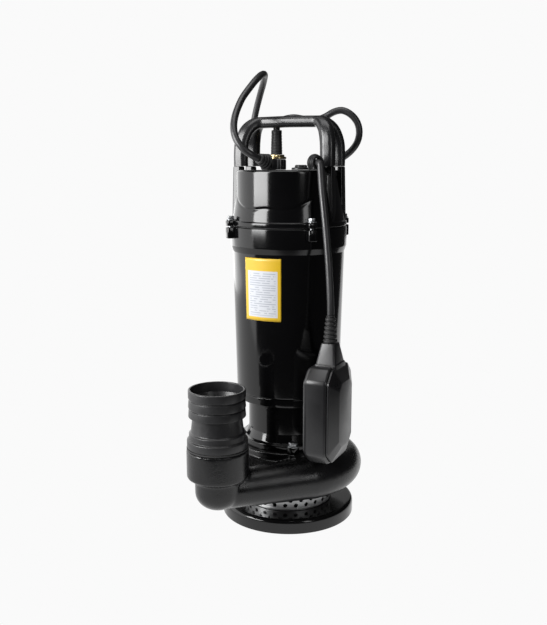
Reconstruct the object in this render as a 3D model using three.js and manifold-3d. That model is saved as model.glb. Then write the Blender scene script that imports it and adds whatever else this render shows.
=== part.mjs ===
// Submersible sump pump with a float switch, in millimetres, +Z up.
// The origin is the centre of the underside of the base plate, and +Z is the pump axis.
// The carrying handle runs along X, and the label faces -Y.
import * as THREE from 'three';
import { mergeVertices } from 'three/addons/utils/BufferGeometryUtils.js';
import Module from 'manifold-3d';

const wasm = await Module();
wasm.setup();

// ---------------------------------------------------------------- driving sizes

const GAP = 0.3; // clearance between two pieces that touch
const FIT = 0.3; // radial clearance of a piece in its bore

const base = { radius: 86, height: 18, edge: 6, bevel: 1.5 };
const strainer = { radius: 57, height: 26.4, wall: 1.2, hole: 2.8, columns: 18, rows: 3, rowPitch: 6.6 };
const post = { radius: 5, circle: 46, count: 3, firstAngle: 30 };
const suction = { radius: strainer.radius - 0.5, inlet: 22.5, thickness: 4.7 };

// rise is the height of the passage's centre above the underside of the casing.
const scroll = {
  rise: 17, path: suction.radius + 9.5, pathGrowth: 7, tube: 19, tubeGrowth: 7, wall: 5, outletAngle: -45,
};
const impeller = { radius: 46, shroud: 4, vanes: 6, vaneThickness: 3.5, vaneHeight: 24, hub: 13, hubTop: 4, lift: 2 };
const chamber = { radius: impeller.radius + 4, height: 34, deckRadius: scroll.path, deckHeight: 47, slot: 9 };
// flatness is the height of the elbow's underside below its centre, as a share of its radius.
const outlet = { length: 117, tube: 26, elbow: 27.5, flatness: 0.8, wall: 6 };
const collar = { radius: 36.85, rise: 15, height: 39, bore: 30, boreDepth: 20, taper: 5, shoulder: 8.5 };
const adapter = {
  gasket: 2, flange: 36, flangeHeight: 9.5, lip: 33.5, lipHeight: 8, neckFoot: 31, neck: 29, barb: 33.9, bore: 26.5,
};
const mouth = { radius: 31, depth: 12, taper: 8 };
const barb = { start: 39.5, pitch: 11.2, count: 2, height: 7.6, rim: 10 };

const shaft = { radius: 8, threadRadius: 5, coreRadius: 11, topRadius: 7.5, topClearance: 2.7 };
const nut = { radius: 9.5, height: 7 };
const seal = { radius: 15.5, headHeight: 10.7, seatHeight: 4.4, seatRadius: 16 };

const casingBolt = {
  circle: scroll.path - 4, boss: 8, head: 6, headHeight: 5.5, shank: 3, depth: 24, firstAngle: -60, count: 4,
};
const oil = {
  flange: casingBolt.circle - 2, flangeHeight: 7.7, radius: 51, wall: 10, height: 57.4, skirtHeight: 11, floor: 10,
};
const bracket = { ringHeight: 10.7, spigot: 5, hub: 26 };
const bearing = { lowerOuter: 20, lowerHeight: 12, upperOuter: 17.5, upperHeight: 11 };

const barrel = { bottomRadius: 65.8, topRadius: 70.1, bore: 61.5, length: 208.7, head: 72.7, headHeight: 30.7, flare: 9 };
const headBore = { radius: barrel.bore + 3.5, depth: 29 };
// lowerRoom and upperRoom are the heights left in the barrel below and above the iron of the stator.
const stator = { bore: 31, lowerRoom: 39, upperRoom: 50.7, coilHeight: 26, coilMargin: 5 };
const rotor = { radius: stator.bore - 0.8, overhang: 5 };
const upperPlate = { thickness: 6, hub: 23, hubDrop: 18 };
const lug = { circle: barrel.head + 3.3, radius: 5.6, barrelHeight: 13.7, coverHeight: 6.7, firstAngle: 45, count: 4 };
const coverBolt = { shank: 2.5, head: 4.6, headHeight: 5, depth: 10 };
const gasket = { inner: headBore.radius + 0.5, thickness: 1 };

const cover = { flangeHeight: 5.7, bottomRadius: barrel.head - 2.3, topRadius: 61.4, height: 67.2, wall: 5.5 };
const boss = { halfX: 62.5, halfY: 68, squareness: 2.15, rise: 15.7, bevel: 3 };
const pillar = { x: cover.topRadius - 0.4, y: 17, depth: 13, topWidth: 10, bottomWidth: 14, rise: 4.5 };
const capacitor = { radius: 17.5, height: 62, x: 24, y: 20 };
const terminals = { length: 44, width: 16, height: 20, x: -8, y: -30 };
const vent = { x: 8, y: 20, base: 12, cap: 7, height: 6 };

const gland = { x: -25, y: 18, radius: 12.25, height: 13, nut: 12.4, nutHeight: 5.5 };
const sleeve = { bottom: 7.3, top: 6.6, height: 30 };
// Each leg is a pair of joined rods, set web apart along X.
const handle = { rise: 54, barHalf: pillar.x - 15, halfHeight: 7, halfDepth: 7.6, leg: 6.6, web: 6 };

const cordRadius = 4.25;
const floatCordRadius = 4.25;
const clip = { x: 53, y: -40.4, rise: 8.5, outer: 10.5, bore: 5.4, length: 9 };
const outletBoot = { x: -4, y: -56, rise: 9.5, radius: 10, tip: 6.2, length: 14, block: 17 };
const coil = { x: -60, y: 182, turnRadius: 56, across: 5, layers: 3 };
const plug = { radius: 18.5, height: 28, length: 40, relief: 18, pinRadius: 2.4, pinLength: 19, pinSpacing: 19 };

const float = { x: 82, y: -63, thickness: 41, width: 80, bottom: 103.5, height: 115.5, corner: 13, bevel: 9 };
const floatShell = { wall: 2.6, lid: 10, neckBottom: 14, neckTop: 9, neckHeight: 25.5 };
const boot = { bottom: 8.2, top: 6, height: 32 };
const ball = { radius: 9 };
const microSwitch = { width: 22, depth: 12, height: 28 };

// Heights that follow from the sizes above.
const strainerFoot = base.height + GAP;
const strainerTop = strainerFoot + strainer.height;
const suctionBottom = strainerTop + GAP;
const casingBottom = suctionBottom + suction.thickness + GAP;
const scrollZ = casingBottom + scroll.rise;
const collarBottom = scrollZ + collar.rise;
const collarTop = collarBottom + collar.height;
const deckTop = casingBottom + chamber.deckHeight;
const oilFlangeBottom = deckTop + GAP;
const impellerBottom = casingBottom + impeller.lift;
const shroudTop = impellerBottom + impeller.vaneHeight + impeller.shroud;
const hubTop = shroudTop + impeller.hubTop;
const sealTop = hubTop + GAP + seal.headHeight;
const seatTop = sealTop + GAP + seal.seatHeight;
const oilTop = oilFlangeBottom + oil.height;
const bracketBottom = oilTop + GAP;
const bracketTop = bracketBottom + bracket.ringHeight;
const barrelBottom = bracketTop + GAP;
const barrelTop = barrelBottom + barrel.length;
const taperTop = barrelTop - barrel.headHeight;
const headSeat = barrelTop - headBore.depth;
const statorBottom = barrelBottom + stator.lowerRoom;
const statorTop = headSeat - stator.upperRoom;
const rotorBottom = statorBottom - rotor.overhang;
const rotorTop = statorTop + rotor.overhang;
const shaftTop = headSeat - shaft.topClearance;
const coverBottom = barrelTop + GAP + gasket.thickness + GAP;
const flangeTop = coverBottom + cover.flangeHeight;
const coverTop = coverBottom + cover.height;
const pillarTop = coverTop + pillar.rise;
const barZ = pillarTop + handle.rise;
const glandTop = coverTop + GAP + gland.height;
const glandNutTop = glandTop + GAP + gland.nutHeight;
const sleeveTop = glandNutTop + GAP + sleeve.height;
const coilHeight = coil.layers * 2 * cordRadius;
const coilHalfWidth = coil.across * cordRadius;

// ---------------------------------------------------------------- finishes

const finish = (color, roughness, metalness) => ({ color, roughness, metalness });
const finishes = {
  glossBlack: finish(0x101114, 0.18, 0.1),
  castBlack: finish(0x1a1b1d, 0.55, 0.2),
  plasticBlack: finish(0x1c1d20, 0.5, 0),
  rubberBlack: finish(0x141416, 0.75, 0),
  stainless: finish(0xb9bbbd, 0.3, 1),
  steel: finish(0x9a9c9f, 0.4, 1),
  iron: finish(0x55585c, 0.6, 0.8),
  copper: finish(0xb5673a, 0.4, 0.9),
  brass: finish(0xc2a063, 0.35, 1),
  ceramic: finish(0xdedad0, 0.4, 0),
  greyPlastic: finish(0x8d9094, 0.5, 0),
  labelYellow: finish(0xe9b912, 0.45, 0),
};

// ---------------------------------------------------------------- geometry helpers

const pump = new THREE.Group();
const degrees = THREE.MathUtils.degToRad;

function onCircle(radius, angle, z = 0) {
  return new THREE.Vector3(radius * Math.cos(degrees(angle)), radius * Math.sin(degrees(angle)), z);
}

function anglesOf({ firstAngle, count }) {
  return Array.from({ length: count }, (_, i) => firstAngle + (360 / count) * i);
}

function signedVolume(position, index) {
  const corner = [0, 1, 2].map(() => new THREE.Vector3());
  let sum = 0;
  for (let i = 0; i < index.length; i += 3) {
    corner.forEach((c, k) => c.fromBufferAttribute(position, index[i + k]));
    sum += corner[0].dot(corner[1].cross(corner[2])) / 6;
  }
  return sum;
}

// Shares the vertices, drops flat triangles and turns the faces outwards.
function weld(geometry) {
  const bare = geometry.clone();
  bare.deleteAttribute('normal');
  bare.deleteAttribute('uv');
  const merged = mergeVertices(bare, 1e-4);
  let index = [];
  for (let i = 0; i < merged.index.count; i += 3) {
    const [a, b, c] = [0, 1, 2].map((k) => merged.index.getX(i + k));
    if (a !== b && b !== c && c !== a) index.push(a, b, c);
  }
  if (signedVolume(merged.attributes.position, index) < 0) index = index.reverse();
  merged.setIndex(index);
  return merged;
}

function toSolid(geometry) {
  const welded = weld(geometry);
  const mesh = new wasm.Mesh({
    numProp: 3,
    vertProperties: new Float32Array(welded.attributes.position.array),
    triVerts: new Uint32Array(welded.index.array),
  });
  mesh.merge();
  return new wasm.Manifold(mesh);
}

function fromSolid(solid) {
  const mesh = solid.getMesh();
  const geometry = new THREE.BufferGeometry();
  geometry.setAttribute('position', new THREE.BufferAttribute(mesh.vertProperties, 3));
  geometry.setIndex(new THREE.BufferAttribute(mesh.triVerts, 1));
  return geometry;
}

// Joins the first list of shapes and cuts the second list from it.
function build(joined, cuts = []) {
  const total = joined.map(toSolid).reduce((sum, part) => sum.add(part));
  return fromSolid(cuts.map(toSolid).reduce((rest, cut) => rest.subtract(cut), total));
}

// A solid of revolution about Z from [radius, z] pairs.
function turned(profile, segments = 28) {
  const points = profile.map(([r, z]) => new THREE.Vector2(r, z));
  return new THREE.LatheGeometry(points, segments).rotateX(Math.PI / 2);
}

function closedTurned(profile, segments = 28) {
  return turned([...profile, profile[0]], segments);
}

function ringBetween(inner, outer, z0, z1, segments = 28) {
  return closedTurned([[inner, z0], [outer, z0], [outer, z1], [inner, z1]], segments);
}

function rod(radius, z0, z1, segments = 24, x = 0, y = 0) {
  const geometry = new THREE.CylinderGeometry(radius, radius, z1 - z0, segments).rotateX(Math.PI / 2);
  return geometry.translate(x, y, (z0 + z1) / 2);
}

function block(sizeX, sizeY, sizeZ, x, y, z) {
  return new THREE.BoxGeometry(sizeX, sizeY, sizeZ).translate(x, y, z);
}

function circleShape(radius, sides) {
  const points = Array.from({ length: sides }, (_, i) => {
    const turn = ((i + 0.5) / sides) * 2 * Math.PI;
    return new THREE.Vector2(radius * Math.cos(turn), radius * Math.sin(turn));
  });
  return new THREE.Shape(points);
}

function ovalShape(halfAcross, halfAlong, sides, squareness = 2) {
  const points = Array.from({ length: sides }, (_, i) => {
    const turn = (i / sides) * 2 * Math.PI;
    const power = (value) => Math.sign(value) * Math.abs(value) ** (2 / squareness);
    return new THREE.Vector2(halfAcross * power(Math.cos(turn)), halfAlong * power(Math.sin(turn)));
  });
  return new THREE.Shape(points);
}

function swept(section, path, steps) {
  return new THREE.ExtrudeGeometry(section, { steps, bevelEnabled: false, extrudePath: path });
}

function smoothPath(points) {
  return new THREE.CatmullRomCurve3(points.map(([x, y, z]) => new THREE.Vector3(x, y, z)));
}

// Points a shape that stands on +Z along a direction, from a start point.
function aim(geometry, start, direction) {
  const turn = new THREE.Quaternion();
  turn.setFromUnitVectors(new THREE.Vector3(0, 0, 1), direction.clone().normalize());
  return geometry.applyQuaternion(turn).translate(start.x, start.y, start.z);
}

function add(name, geometry, look, at = [0, 0, 0], turnZ = 0) {
  const mesh = new THREE.Mesh(weld(geometry), new THREE.MeshStandardMaterial(look));
  mesh.name = name;
  mesh.position.set(...at);
  mesh.rotation.z = degrees(turnZ);
  pump.add(mesh);
}

function addCopies(name, pattern, circle, geometry, look) {
  anglesOf(pattern).forEach((angle, i) => {
    const place = onCircle(circle, angle);
    add(`${name}_${i + 1}`, geometry, look, [place.x, place.y, 0], angle);
  });
}

function hexBolt(head, headHeight, shank, seatZ, depth) {
  return build([
    rod(shank, seatZ - depth, seatZ + headHeight / 2, 8),
    rod(head, seatZ, seatZ + headHeight, 6),
  ]);
}

// ---------------------------------------------------------------- base and strainer

function addBase() {
  const { radius, height, edge, bevel } = base;
  const profile = [
    [0, 0], [radius - bevel, 0], [radius, bevel], [radius, height - edge],
    [radius - edge * 0.3, height - edge * 0.3], [radius - edge, height], [0, height],
  ];
  add('base_plate', turned(profile, 44), finishes.glossBlack);
}

function addStrainer() {
  const { radius, wall, hole, columns, rows, rowPitch } = strainer;
  const shell = ringBetween(radius - wall, radius, strainerFoot, strainerTop, columns * 2);
  const step = 360 / columns;
  const middle = (strainerFoot + strainerTop) / 2;
  const holes = [];
  for (let row = 0; row < rows; row += 1) {
    const z = middle + (row - (rows - 1) / 2) * rowPitch;
    for (let column = 0; column < columns; column += 1) {
      const drill = new THREE.CylinderGeometry(hole, hole, wall * 6, 6).rotateZ(Math.PI / 2);
      drill.translate(radius, 0, z).rotateZ(degrees(step * (column + (row % 2) / 2)));
      holes.push(drill);
    }
  }
  add('strainer_basket', build([shell], holes), finishes.stainless);
  const spacer = rod(post.radius, strainerFoot, strainerTop, 12);
  addCopies('base_post', post, post.circle, spacer, finishes.steel);
  const plate = ringBetween(suction.inlet, suction.radius, suctionBottom, suctionBottom + suction.thickness);
  add('suction_cover', plate, finishes.castBlack);
}

// ---------------------------------------------------------------- volute and outlet

// The spiral passage: its path radius and its tube radius grow along the flow, clockwise from above.
function scrollTube(inset, steps, sides) {
  const { path, pathGrowth, tube, tubeGrowth, outletAngle } = scroll;
  const vertices = [];
  for (let i = 0; i <= steps; i += 1) {
    const share = i / steps;
    const angle = degrees(outletAngle + 360 * (1 - share));
    const radius = tube + tubeGrowth * share - inset;
    for (let k = 0; k < sides; k += 1) {
      const around = (k / sides) * 2 * Math.PI;
      const reach = path + pathGrowth * share + radius * Math.cos(around);
      vertices.push(reach * Math.cos(angle), reach * Math.sin(angle), scrollZ + radius * Math.sin(around));
    }
  }
  const index = [];
  for (let i = 0; i < steps; i += 1) {
    for (let k = 0; k < sides; k += 1) {
      const [a, b] = [i * sides + k, i * sides + ((k + 1) % sides)];
      index.push(a, b, b + sides, a, b + sides, a + sides);
    }
  }
  const last = steps * sides;
  for (let k = 1; k < sides - 1; k += 1) {
    index.push(0, k + 1, k, last, last + k, last + k + 1);
  }
  const geometry = new THREE.BufferGeometry();
  geometry.setAttribute('position', new THREE.Float32BufferAttribute(vertices, 3));
  geometry.setIndex(index);
  return geometry;
}

const spigotBore = chamber.radius - 2;
const outletStart = onCircle(scroll.path + scroll.pathGrowth, scroll.outletAngle, scrollZ);
const outletDirection = onCircle(1, scroll.outletAngle - 90);
const barbAxis = outletStart.clone().addScaledVector(outletDirection, outlet.length);

function outletShapes(inset, mouthZ) {
  const overlap = 4;
  const cone = new THREE.CylinderGeometry(
    outlet.elbow * outlet.flatness - inset, outlet.tube - inset, outlet.length + overlap, 16,
  ).rotateX(Math.PI / 2).translate(0, 0, (outlet.length - overlap) / 2);
  const run = aim(cone, outletStart, outletDirection);
  const corner = new THREE.SphereGeometry(outlet.elbow - inset, 16, 8).rotateX(Math.PI / 2);
  corner.scale(1, 1, outlet.flatness).translate(barbAxis.x, barbAxis.y, barbAxis.z);
  const rise = rod(outlet.elbow - inset, barbAxis.z, mouthZ, 16, barbAxis.x, barbAxis.y);
  return [run, corner, rise];
}

function atBarb(geometry) {
  return geometry.translate(barbAxis.x, barbAxis.y, 0);
}

function addVolute() {
  const { radius, bore, boreDepth, taper, shoulder } = collar;
  const socket = atBarb(turned([
    [0, collarBottom], [radius - shoulder, collarBottom], [radius, collarBottom + taper],
    [radius, collarTop - 1], [radius - 1, collarTop], [0, collarTop],
  ], 28));
  const deck = rod(chamber.deckRadius, casingBottom, deckTop, 28);
  const bossAt = (angle) => onCircle(casingBolt.circle, angle);
  const bosses = anglesOf(casingBolt).map((angle) => {
    return rod(casingBolt.boss, scrollZ, deckTop, 12, bossAt(angle).x, bossAt(angle).y);
  });
  const holes = anglesOf(casingBolt).map((angle) => {
    const { x, y } = bossAt(angle);
    return rod(casingBolt.shank + FIT, deckTop - casingBolt.depth, deckTop + 1, 8, x, y);
  });
  const chamberTop = casingBottom + chamber.height;
  const outside = [scrollTube(0, 32, 12), deck, ...outletShapes(0, collarBottom + 1), socket, ...bosses];
  const inside = [
    scrollTube(scroll.wall, 20, 6),
    rod(scroll.path, scrollZ - chamber.slot, scrollZ + chamber.slot),
    rod(suction.radius + FIT, 0, casingBottom, 28),
    rod(chamber.radius, casingBottom - 1, chamberTop, 28),
    rod(spigotBore, chamberTop - 1, deckTop + 1, 28),
    ...outletShapes(outlet.wall, collarTop - boreDepth + 0.5),
    atBarb(rod(bore, collarTop - boreDepth, collarTop + 1, 24)),
    ...holes,
  ];
  add('volute_casing', build(outside, inside), finishes.castBlack);
}

// The barbed hose adapter, with a seat ring, a neck, ridges and a plain rim.
function addHoseAdapter() {
  const seat = collarTop + GAP;
  const flangeBottom = seat + adapter.gasket + GAP;
  const seal = ringBetween(collar.bore + 1, adapter.flange + 0.8, seat, seat + adapter.gasket, 26);
  add('adapter_gasket', atBarb(seal), finishes.rubberBlack);
  const { flange, flangeHeight, lip, lipHeight, neckFoot, neck, bore } = adapter;
  const spigot = collar.bore - FIT;
  const foot = collarTop - collar.boreDepth + 1;
  const profile = [
    [bore, foot], [spigot, foot], [spigot, flangeBottom], [flange, flangeBottom],
    [flange, flangeBottom + flangeHeight - 1], [lip, flangeBottom + flangeHeight],
    [lip, flangeBottom + flangeHeight + lipHeight - 2], [neckFoot, flangeBottom + flangeHeight + lipHeight],
    [neck, collarTop + barb.start],
  ];
  for (let ridge = 0; ridge < barb.count; ridge += 1) {
    const z = collarTop + barb.start + ridge * barb.pitch;
    profile.push([adapter.barb, z + 0.6], [adapter.barb - 0.6, z + barb.height], [adapter.barb - 2, z + barb.pitch]);
  }
  const rimZ = collarTop + barb.start + barb.count * barb.pitch;
  profile.push([adapter.barb, rimZ + 0.6], [adapter.barb, rimZ + barb.rim - 1], [adapter.barb - 1, rimZ + barb.rim]);
  profile.push([mouth.radius, rimZ + barb.rim], [mouth.radius, rimZ + barb.rim - mouth.depth]);
  profile.push([bore, rimZ + barb.rim - mouth.depth - mouth.taper]);
  add('hose_adapter', atBarb(closedTurned(profile, 26)), finishes.plasticBlack);
}

// ---------------------------------------------------------------- turning parts

function vaneShape() {
  const { radius, hub, vaneThickness } = impeller;
  const sweep = 70;
  const steps = 6;
  const side = (offset) => Array.from({ length: steps + 1 }, (_, i) => {
    const reach = hub - 2 + ((radius - 1 - hub + 2) * i) / steps;
    const turn = degrees((sweep * i) / steps);
    return new THREE.Vector2(
      reach * Math.cos(turn) - offset * Math.sin(turn),
      reach * Math.sin(turn) + offset * Math.cos(turn),
    );
  });
  return new THREE.Shape([...side(-vaneThickness / 2), ...side(vaneThickness / 2).reverse()]);
}

function addRotor() {
  const shroudBottom = shroudTop - impeller.shroud;
  const bore = rod(shaft.radius + FIT, impellerBottom - 1, hubTop + 1, 24);
  const vanes = Array.from({ length: impeller.vanes }, (_, i) => {
    const vane = new THREE.ExtrudeGeometry(vaneShape(), { depth: impeller.vaneHeight + 0.5, bevelEnabled: false });
    return vane.rotateZ((i / impeller.vanes) * 2 * Math.PI).translate(0, 0, impellerBottom);
  });
  const shroud = rod(impeller.radius, shroudBottom, shroudTop, 32);
  const hub = rod(impeller.hub, impellerBottom, hubTop, 24);
  add('impeller', build([shroud, hub, ...vanes], [bore]), finishes.iron);

  const nutTop = impellerBottom - GAP;
  const nutBody = rod(nut.radius, nutTop - nut.height, nutTop, 6);
  const nutBore = rod(shaft.threadRadius + FIT, nutTop - nut.height - 1, nutTop + 1, 16);
  add('impeller_nut', build([nutBody], [nutBore]), finishes.steel);

  add('shaft_seal_head', ringBetween(shaft.radius + FIT, seal.radius, hubTop + GAP, sealTop, 24), finishes.iron);

  const stepLow = impellerBottom + 1;
  const coreMargin = 8;
  const coreLow = rotorBottom - coreMargin;
  const coreHigh = rotorTop + coreMargin;
  const profile = [
    [0, nutTop - nut.height - 3], [shaft.threadRadius, nutTop - nut.height - 3], [shaft.threadRadius, stepLow],
    [shaft.radius, stepLow], [shaft.radius, coreLow], [shaft.coreRadius, coreLow], [shaft.coreRadius, coreHigh],
    [shaft.topRadius, coreHigh], [shaft.topRadius, shaftTop - 1], [shaft.topRadius - 1, shaftTop], [0, shaftTop],
  ];
  add('shaft', turned(profile, 20), finishes.steel);
  const endRing = { height: 9, depth: 4 };
  const [low, high] = [rotorBottom, rotorTop];
  const inner = shaft.coreRadius + FIT;
  add('rotor_core', closedTurned([
    [inner, low + endRing.height], [inner + 6, low + endRing.height], [inner + 6, low],
    [rotor.radius - endRing.depth, low], [rotor.radius, low + endRing.height],
    [rotor.radius, high - endRing.height], [rotor.radius - endRing.depth, high],
    [inner + 6, high], [inner + 6, high - endRing.height], [inner, high - endRing.height],
  ], 28), finishes.iron);
}

// ---------------------------------------------------------------- oil chamber and seal

function addOilChamber() {
  const { flange, flangeHeight, radius, wall, skirtHeight, floor } = oil;
  const flangeTopZ = oilFlangeBottom + flangeHeight;
  const spigotOuter = spigotBore - FIT;
  const skirt = radius + 3.5;
  const floorBottom = sealTop - 1;
  const body = closedTurned([
    [seal.seatRadius + FIT, floorBottom], [spigotOuter - 4, floorBottom], [spigotOuter - 4, floorBottom - 6],
    [spigotOuter, floorBottom - 6], [spigotOuter, oilFlangeBottom], [flange, oilFlangeBottom],
    [flange, flangeTopZ - 1], [flange - 1, flangeTopZ], [skirt, flangeTopZ], [radius, flangeTopZ + skirtHeight],
    [radius, oilTop], [radius - wall, oilTop], [radius - wall, floorBottom + floor],
    [shaft.radius + 3, floorBottom + floor], [shaft.radius + 3, seatTop + GAP], [seal.seatRadius + FIT, seatTop + GAP],
  ]);
  const ears = anglesOf(casingBolt).map((angle) => {
    const { x, y } = onCircle(casingBolt.circle, angle);
    return rod(casingBolt.boss, oilFlangeBottom, flangeTopZ, 12, x, y);
  });
  const holes = anglesOf(casingBolt).map((angle) => {
    const { x, y } = onCircle(casingBolt.circle, angle);
    return rod(casingBolt.shank + FIT, oilFlangeBottom - 1, flangeTopZ + 1, 8, x, y);
  });
  const plugZ = (flangeTopZ + skirtHeight + oilTop) / 2;
  const plugAngle = 140;
  const plugStart = onCircle(radius - wall - 2, plugAngle, plugZ);
  const outward = onCircle(1, plugAngle);
  const plugHole = aim(rod(5 + FIT, 0, wall + 4, 16), plugStart, outward);
  add('oil_chamber', build([body, ...ears], [plugHole, ...holes]), finishes.castBlack);

  const plugSeat = radius + GAP + 0.4;
  const plugBody = build([
    rod(5, radius - wall - 1, plugSeat + 1, 16),
    rod(8, plugSeat, plugSeat + 5, 6),
  ]);
  add('oil_plug', aim(plugBody, onCircle(0, plugAngle, plugZ), outward), finishes.steel);
  const seat = ringBetween(shaft.radius + 2, seal.seatRadius, sealTop + GAP, seatTop, 24);
  add('shaft_seal_seat', seat, finishes.ceramic);
  const boltHead = flangeTopZ + GAP;
  const bolt = hexBolt(casingBolt.head, casingBolt.headHeight, casingBolt.shank, boltHead, casingBolt.depth);
  addCopies('casing_bolt', casingBolt, casingBolt.circle, bolt, finishes.steel);
}

// ---------------------------------------------------------------- motor

function addLowerBracket() {
  const { spigot, hub } = bracket;
  const ring = barrel.bottomRadius - 1.8;
  const top = bracketTop;
  const pocket = top + spigot - bearing.lowerHeight - 2;
  const oilBore = oil.radius - oil.wall - FIT;
  add('lower_bracket', closedTurned([
    [shaft.radius + 3, pocket - 6], [hub, pocket - 6], [hub, bracketBottom - 4], [oilBore, bracketBottom - 4],
    [oilBore, bracketBottom], [ring, bracketBottom], [ring, top], [barrel.bore - FIT, top],
    [barrel.bore - FIT, top + spigot], [bearing.lowerOuter + FIT, top + spigot],
    [bearing.lowerOuter + FIT, pocket], [shaft.radius + 3, pocket],
  ]), finishes.castBlack);
  const low = pocket + GAP;
  const ball = ringBetween(shaft.radius + FIT, bearing.lowerOuter, low, low + bearing.lowerHeight, 32);
  add('lower_bearing', ball, finishes.steel);
}

function barrelProfile() {
  const { bottomRadius, topRadius, bore, head, flare } = barrel;
  return [
    [bore, barrelBottom], [bottomRadius - 1.5, barrelBottom], [bottomRadius, barrelBottom + 2],
    [topRadius, taperTop], [head, taperTop + flare], [head, barrelTop],
    [headBore.radius, barrelTop], [headBore.radius, headSeat], [bore, headSeat],
  ];
}

function addBarrel() {
  const lugs = anglesOf(lug).map((angle) => {
    const { x, y } = onCircle(lug.circle, angle);
    return rod(lug.radius, barrelTop - lug.barrelHeight, barrelTop, 12, x, y);
  });
  const holes = anglesOf(lug).map((angle) => {
    const { x, y } = onCircle(lug.circle, angle);
    return rod(coverBolt.shank + FIT, barrelTop - lug.barrelHeight + 1.5, barrelTop + 1, 8, x, y);
  });
  add('motor_barrel', build([closedTurned(barrelProfile(), 36), ...lugs], holes), finishes.glossBlack);

  const { bore, coilMargin, coilHeight } = stator;
  const [coilInner, coilOuter] = [bore + coilMargin, barrel.bore - coilMargin - 0.5];
  add('stator_core', ringBetween(bore, barrel.bore - FIT, statorBottom, statorTop), finishes.iron);
  const winding = (z0, z1) => closedTurned([
    [coilInner, z0 + 3], [coilInner + 3, z0], [coilOuter - 3, z0], [coilOuter, z0 + 3],
    [coilOuter, z1 - 3], [coilOuter - 3, z1], [coilInner + 3, z1], [coilInner, z1 - 3],
  ], 24);
  add('lower_winding', winding(statorBottom - GAP - coilHeight, statorBottom - GAP), finishes.copper);
  add('upper_winding', winding(statorTop + GAP, statorTop + GAP + coilHeight), finishes.copper);
}

function addUpperPlate() {
  const bottom = headSeat + GAP;
  const top = bottom + upperPlate.thickness;
  const hubBottom = bottom - upperPlate.hubDrop;
  const pocket = bearing.upperOuter + FIT;
  add('upper_bracket', turned([
    [0, shaftTop + 2], [pocket - 3, shaftTop + 2], [pocket - 3, hubBottom + bearing.upperHeight + 1],
    [pocket, hubBottom + bearing.upperHeight + 1], [pocket, hubBottom], [upperPlate.hub, hubBottom],
    [upperPlate.hub, bottom], [headBore.radius - FIT, bottom], [headBore.radius - FIT, top], [0, top],
  ]), finishes.iron);
  const inner = shaft.topRadius + FIT;
  const seat = hubBottom + 0.5;
  const race = ringBetween(inner, bearing.upperOuter, seat, seat + bearing.upperHeight, 32);
  add('upper_bearing', race, finishes.steel);
  const standZ = top + GAP;
  add('run_capacitor', rod(capacitor.radius, standZ, standZ + capacitor.height, 24, capacitor.x, capacitor.y),
    finishes.greyPlastic);
  const { length, width, height, x, y } = terminals;
  const slots = [-1, 0, 1].map((i) => block(8, width * 0.6, 10, x + i * 13, y, standZ + height));
  add('terminal_block', build([block(length, width, height, x, y, standZ + height / 2)], slots), finishes.greyPlastic);
}

// ---------------------------------------------------------------- cover, bolts and handle

function pillarShape() {
  const { x, topWidth, bottomWidth } = pillar;
  const shape = new THREE.Shape([
    new THREE.Vector2(x - bottomWidth / 2, flangeTop - 2), new THREE.Vector2(x + bottomWidth / 2, flangeTop - 2),
    new THREE.Vector2(x + topWidth / 2, pillarTop), new THREE.Vector2(x - topWidth / 2, pillarTop),
  ]);
  return new THREE.ExtrudeGeometry(shape, { depth: pillar.depth, bevelEnabled: false }).rotateX(Math.PI / 2);
}

function addCover() {
  const { bottomRadius, topRadius, wall } = cover;
  const bell = turned([
    [0, coverBottom], [barrel.head, coverBottom], [barrel.head, flangeTop - 1], [barrel.head - 1, flangeTop],
    [bottomRadius, flangeTop], [topRadius, coverTop - 2], [topRadius - 2, coverTop], [0, coverTop],
  ], 36);
  const bossFoot = coverBottom + boss.rise;
  const crown = new THREE.ExtrudeGeometry(ovalShape(boss.halfX, boss.halfY, 32, boss.squareness), {
    depth: coverTop - bossFoot - boss.bevel, bevelThickness: boss.bevel, bevelSize: boss.bevel,
    bevelOffset: -boss.bevel, bevelSegments: 2,
  }).translate(0, 0, bossFoot);
  const crownFoot = block(200, 200, boss.bevel * 2, 0, 0, bossFoot - boss.bevel * 0.5);
  const crownTop = fromSolid(toSolid(crown).subtract(toSolid(crownFoot)));
  const pillars = [[1, 1], [1, -1], [-1, 1], [-1, -1]].map(([sideX, sideY]) => {
    const column = pillarShape().translate(0, pillar.y + pillar.depth / 2, 0);
    return column.scale(sideX, sideY, 1);
  });
  const lugs = anglesOf(lug).map((angle) => {
    const { x, y } = onCircle(lug.circle, angle);
    return rod(lug.radius, coverBottom, coverBottom + lug.coverHeight, 12, x, y);
  });
  const holes = anglesOf(lug).map((angle) => {
    const { x, y } = onCircle(lug.circle, angle);
    return rod(coverBolt.shank + FIT, coverBottom - 1, coverBottom + lug.coverHeight + 1, 8, x, y);
  });
  const hollow = turned([
    [0, coverBottom - 1], [bottomRadius - wall, coverBottom - 1], [bottomRadius - wall, flangeTop],
    [topRadius - wall, coverTop - wall], [0, coverTop - wall],
  ]);
  add('top_cover', build([bell, crownTop, ...pillars, ...lugs], [hollow, ...holes]), finishes.glossBlack);

  const sealZ = barrelTop + GAP;
  add('cover_gasket', ringBetween(gasket.inner, barrel.head - 1, sealZ, sealZ + gasket.thickness),
    finishes.rubberBlack);
  const seat = coverBottom + lug.coverHeight + GAP;
  const bolt = hexBolt(coverBolt.head, coverBolt.headHeight, coverBolt.shank, seat, seat - barrelTop + coverBolt.depth);
  addCopies('cover_bolt', lug, lug.circle, bolt, finishes.steel);

  const plugZ = coverTop + GAP;
  add('vent_plug', turned([
    [0, plugZ], [vent.base, plugZ], [vent.base, plugZ + 2.5], [vent.cap + 1, plugZ + 3],
    [vent.cap, plugZ + vent.height], [0, plugZ + vent.height],
  ], 20).translate(vent.x, vent.y, 0), finishes.plasticBlack);
}

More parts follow.
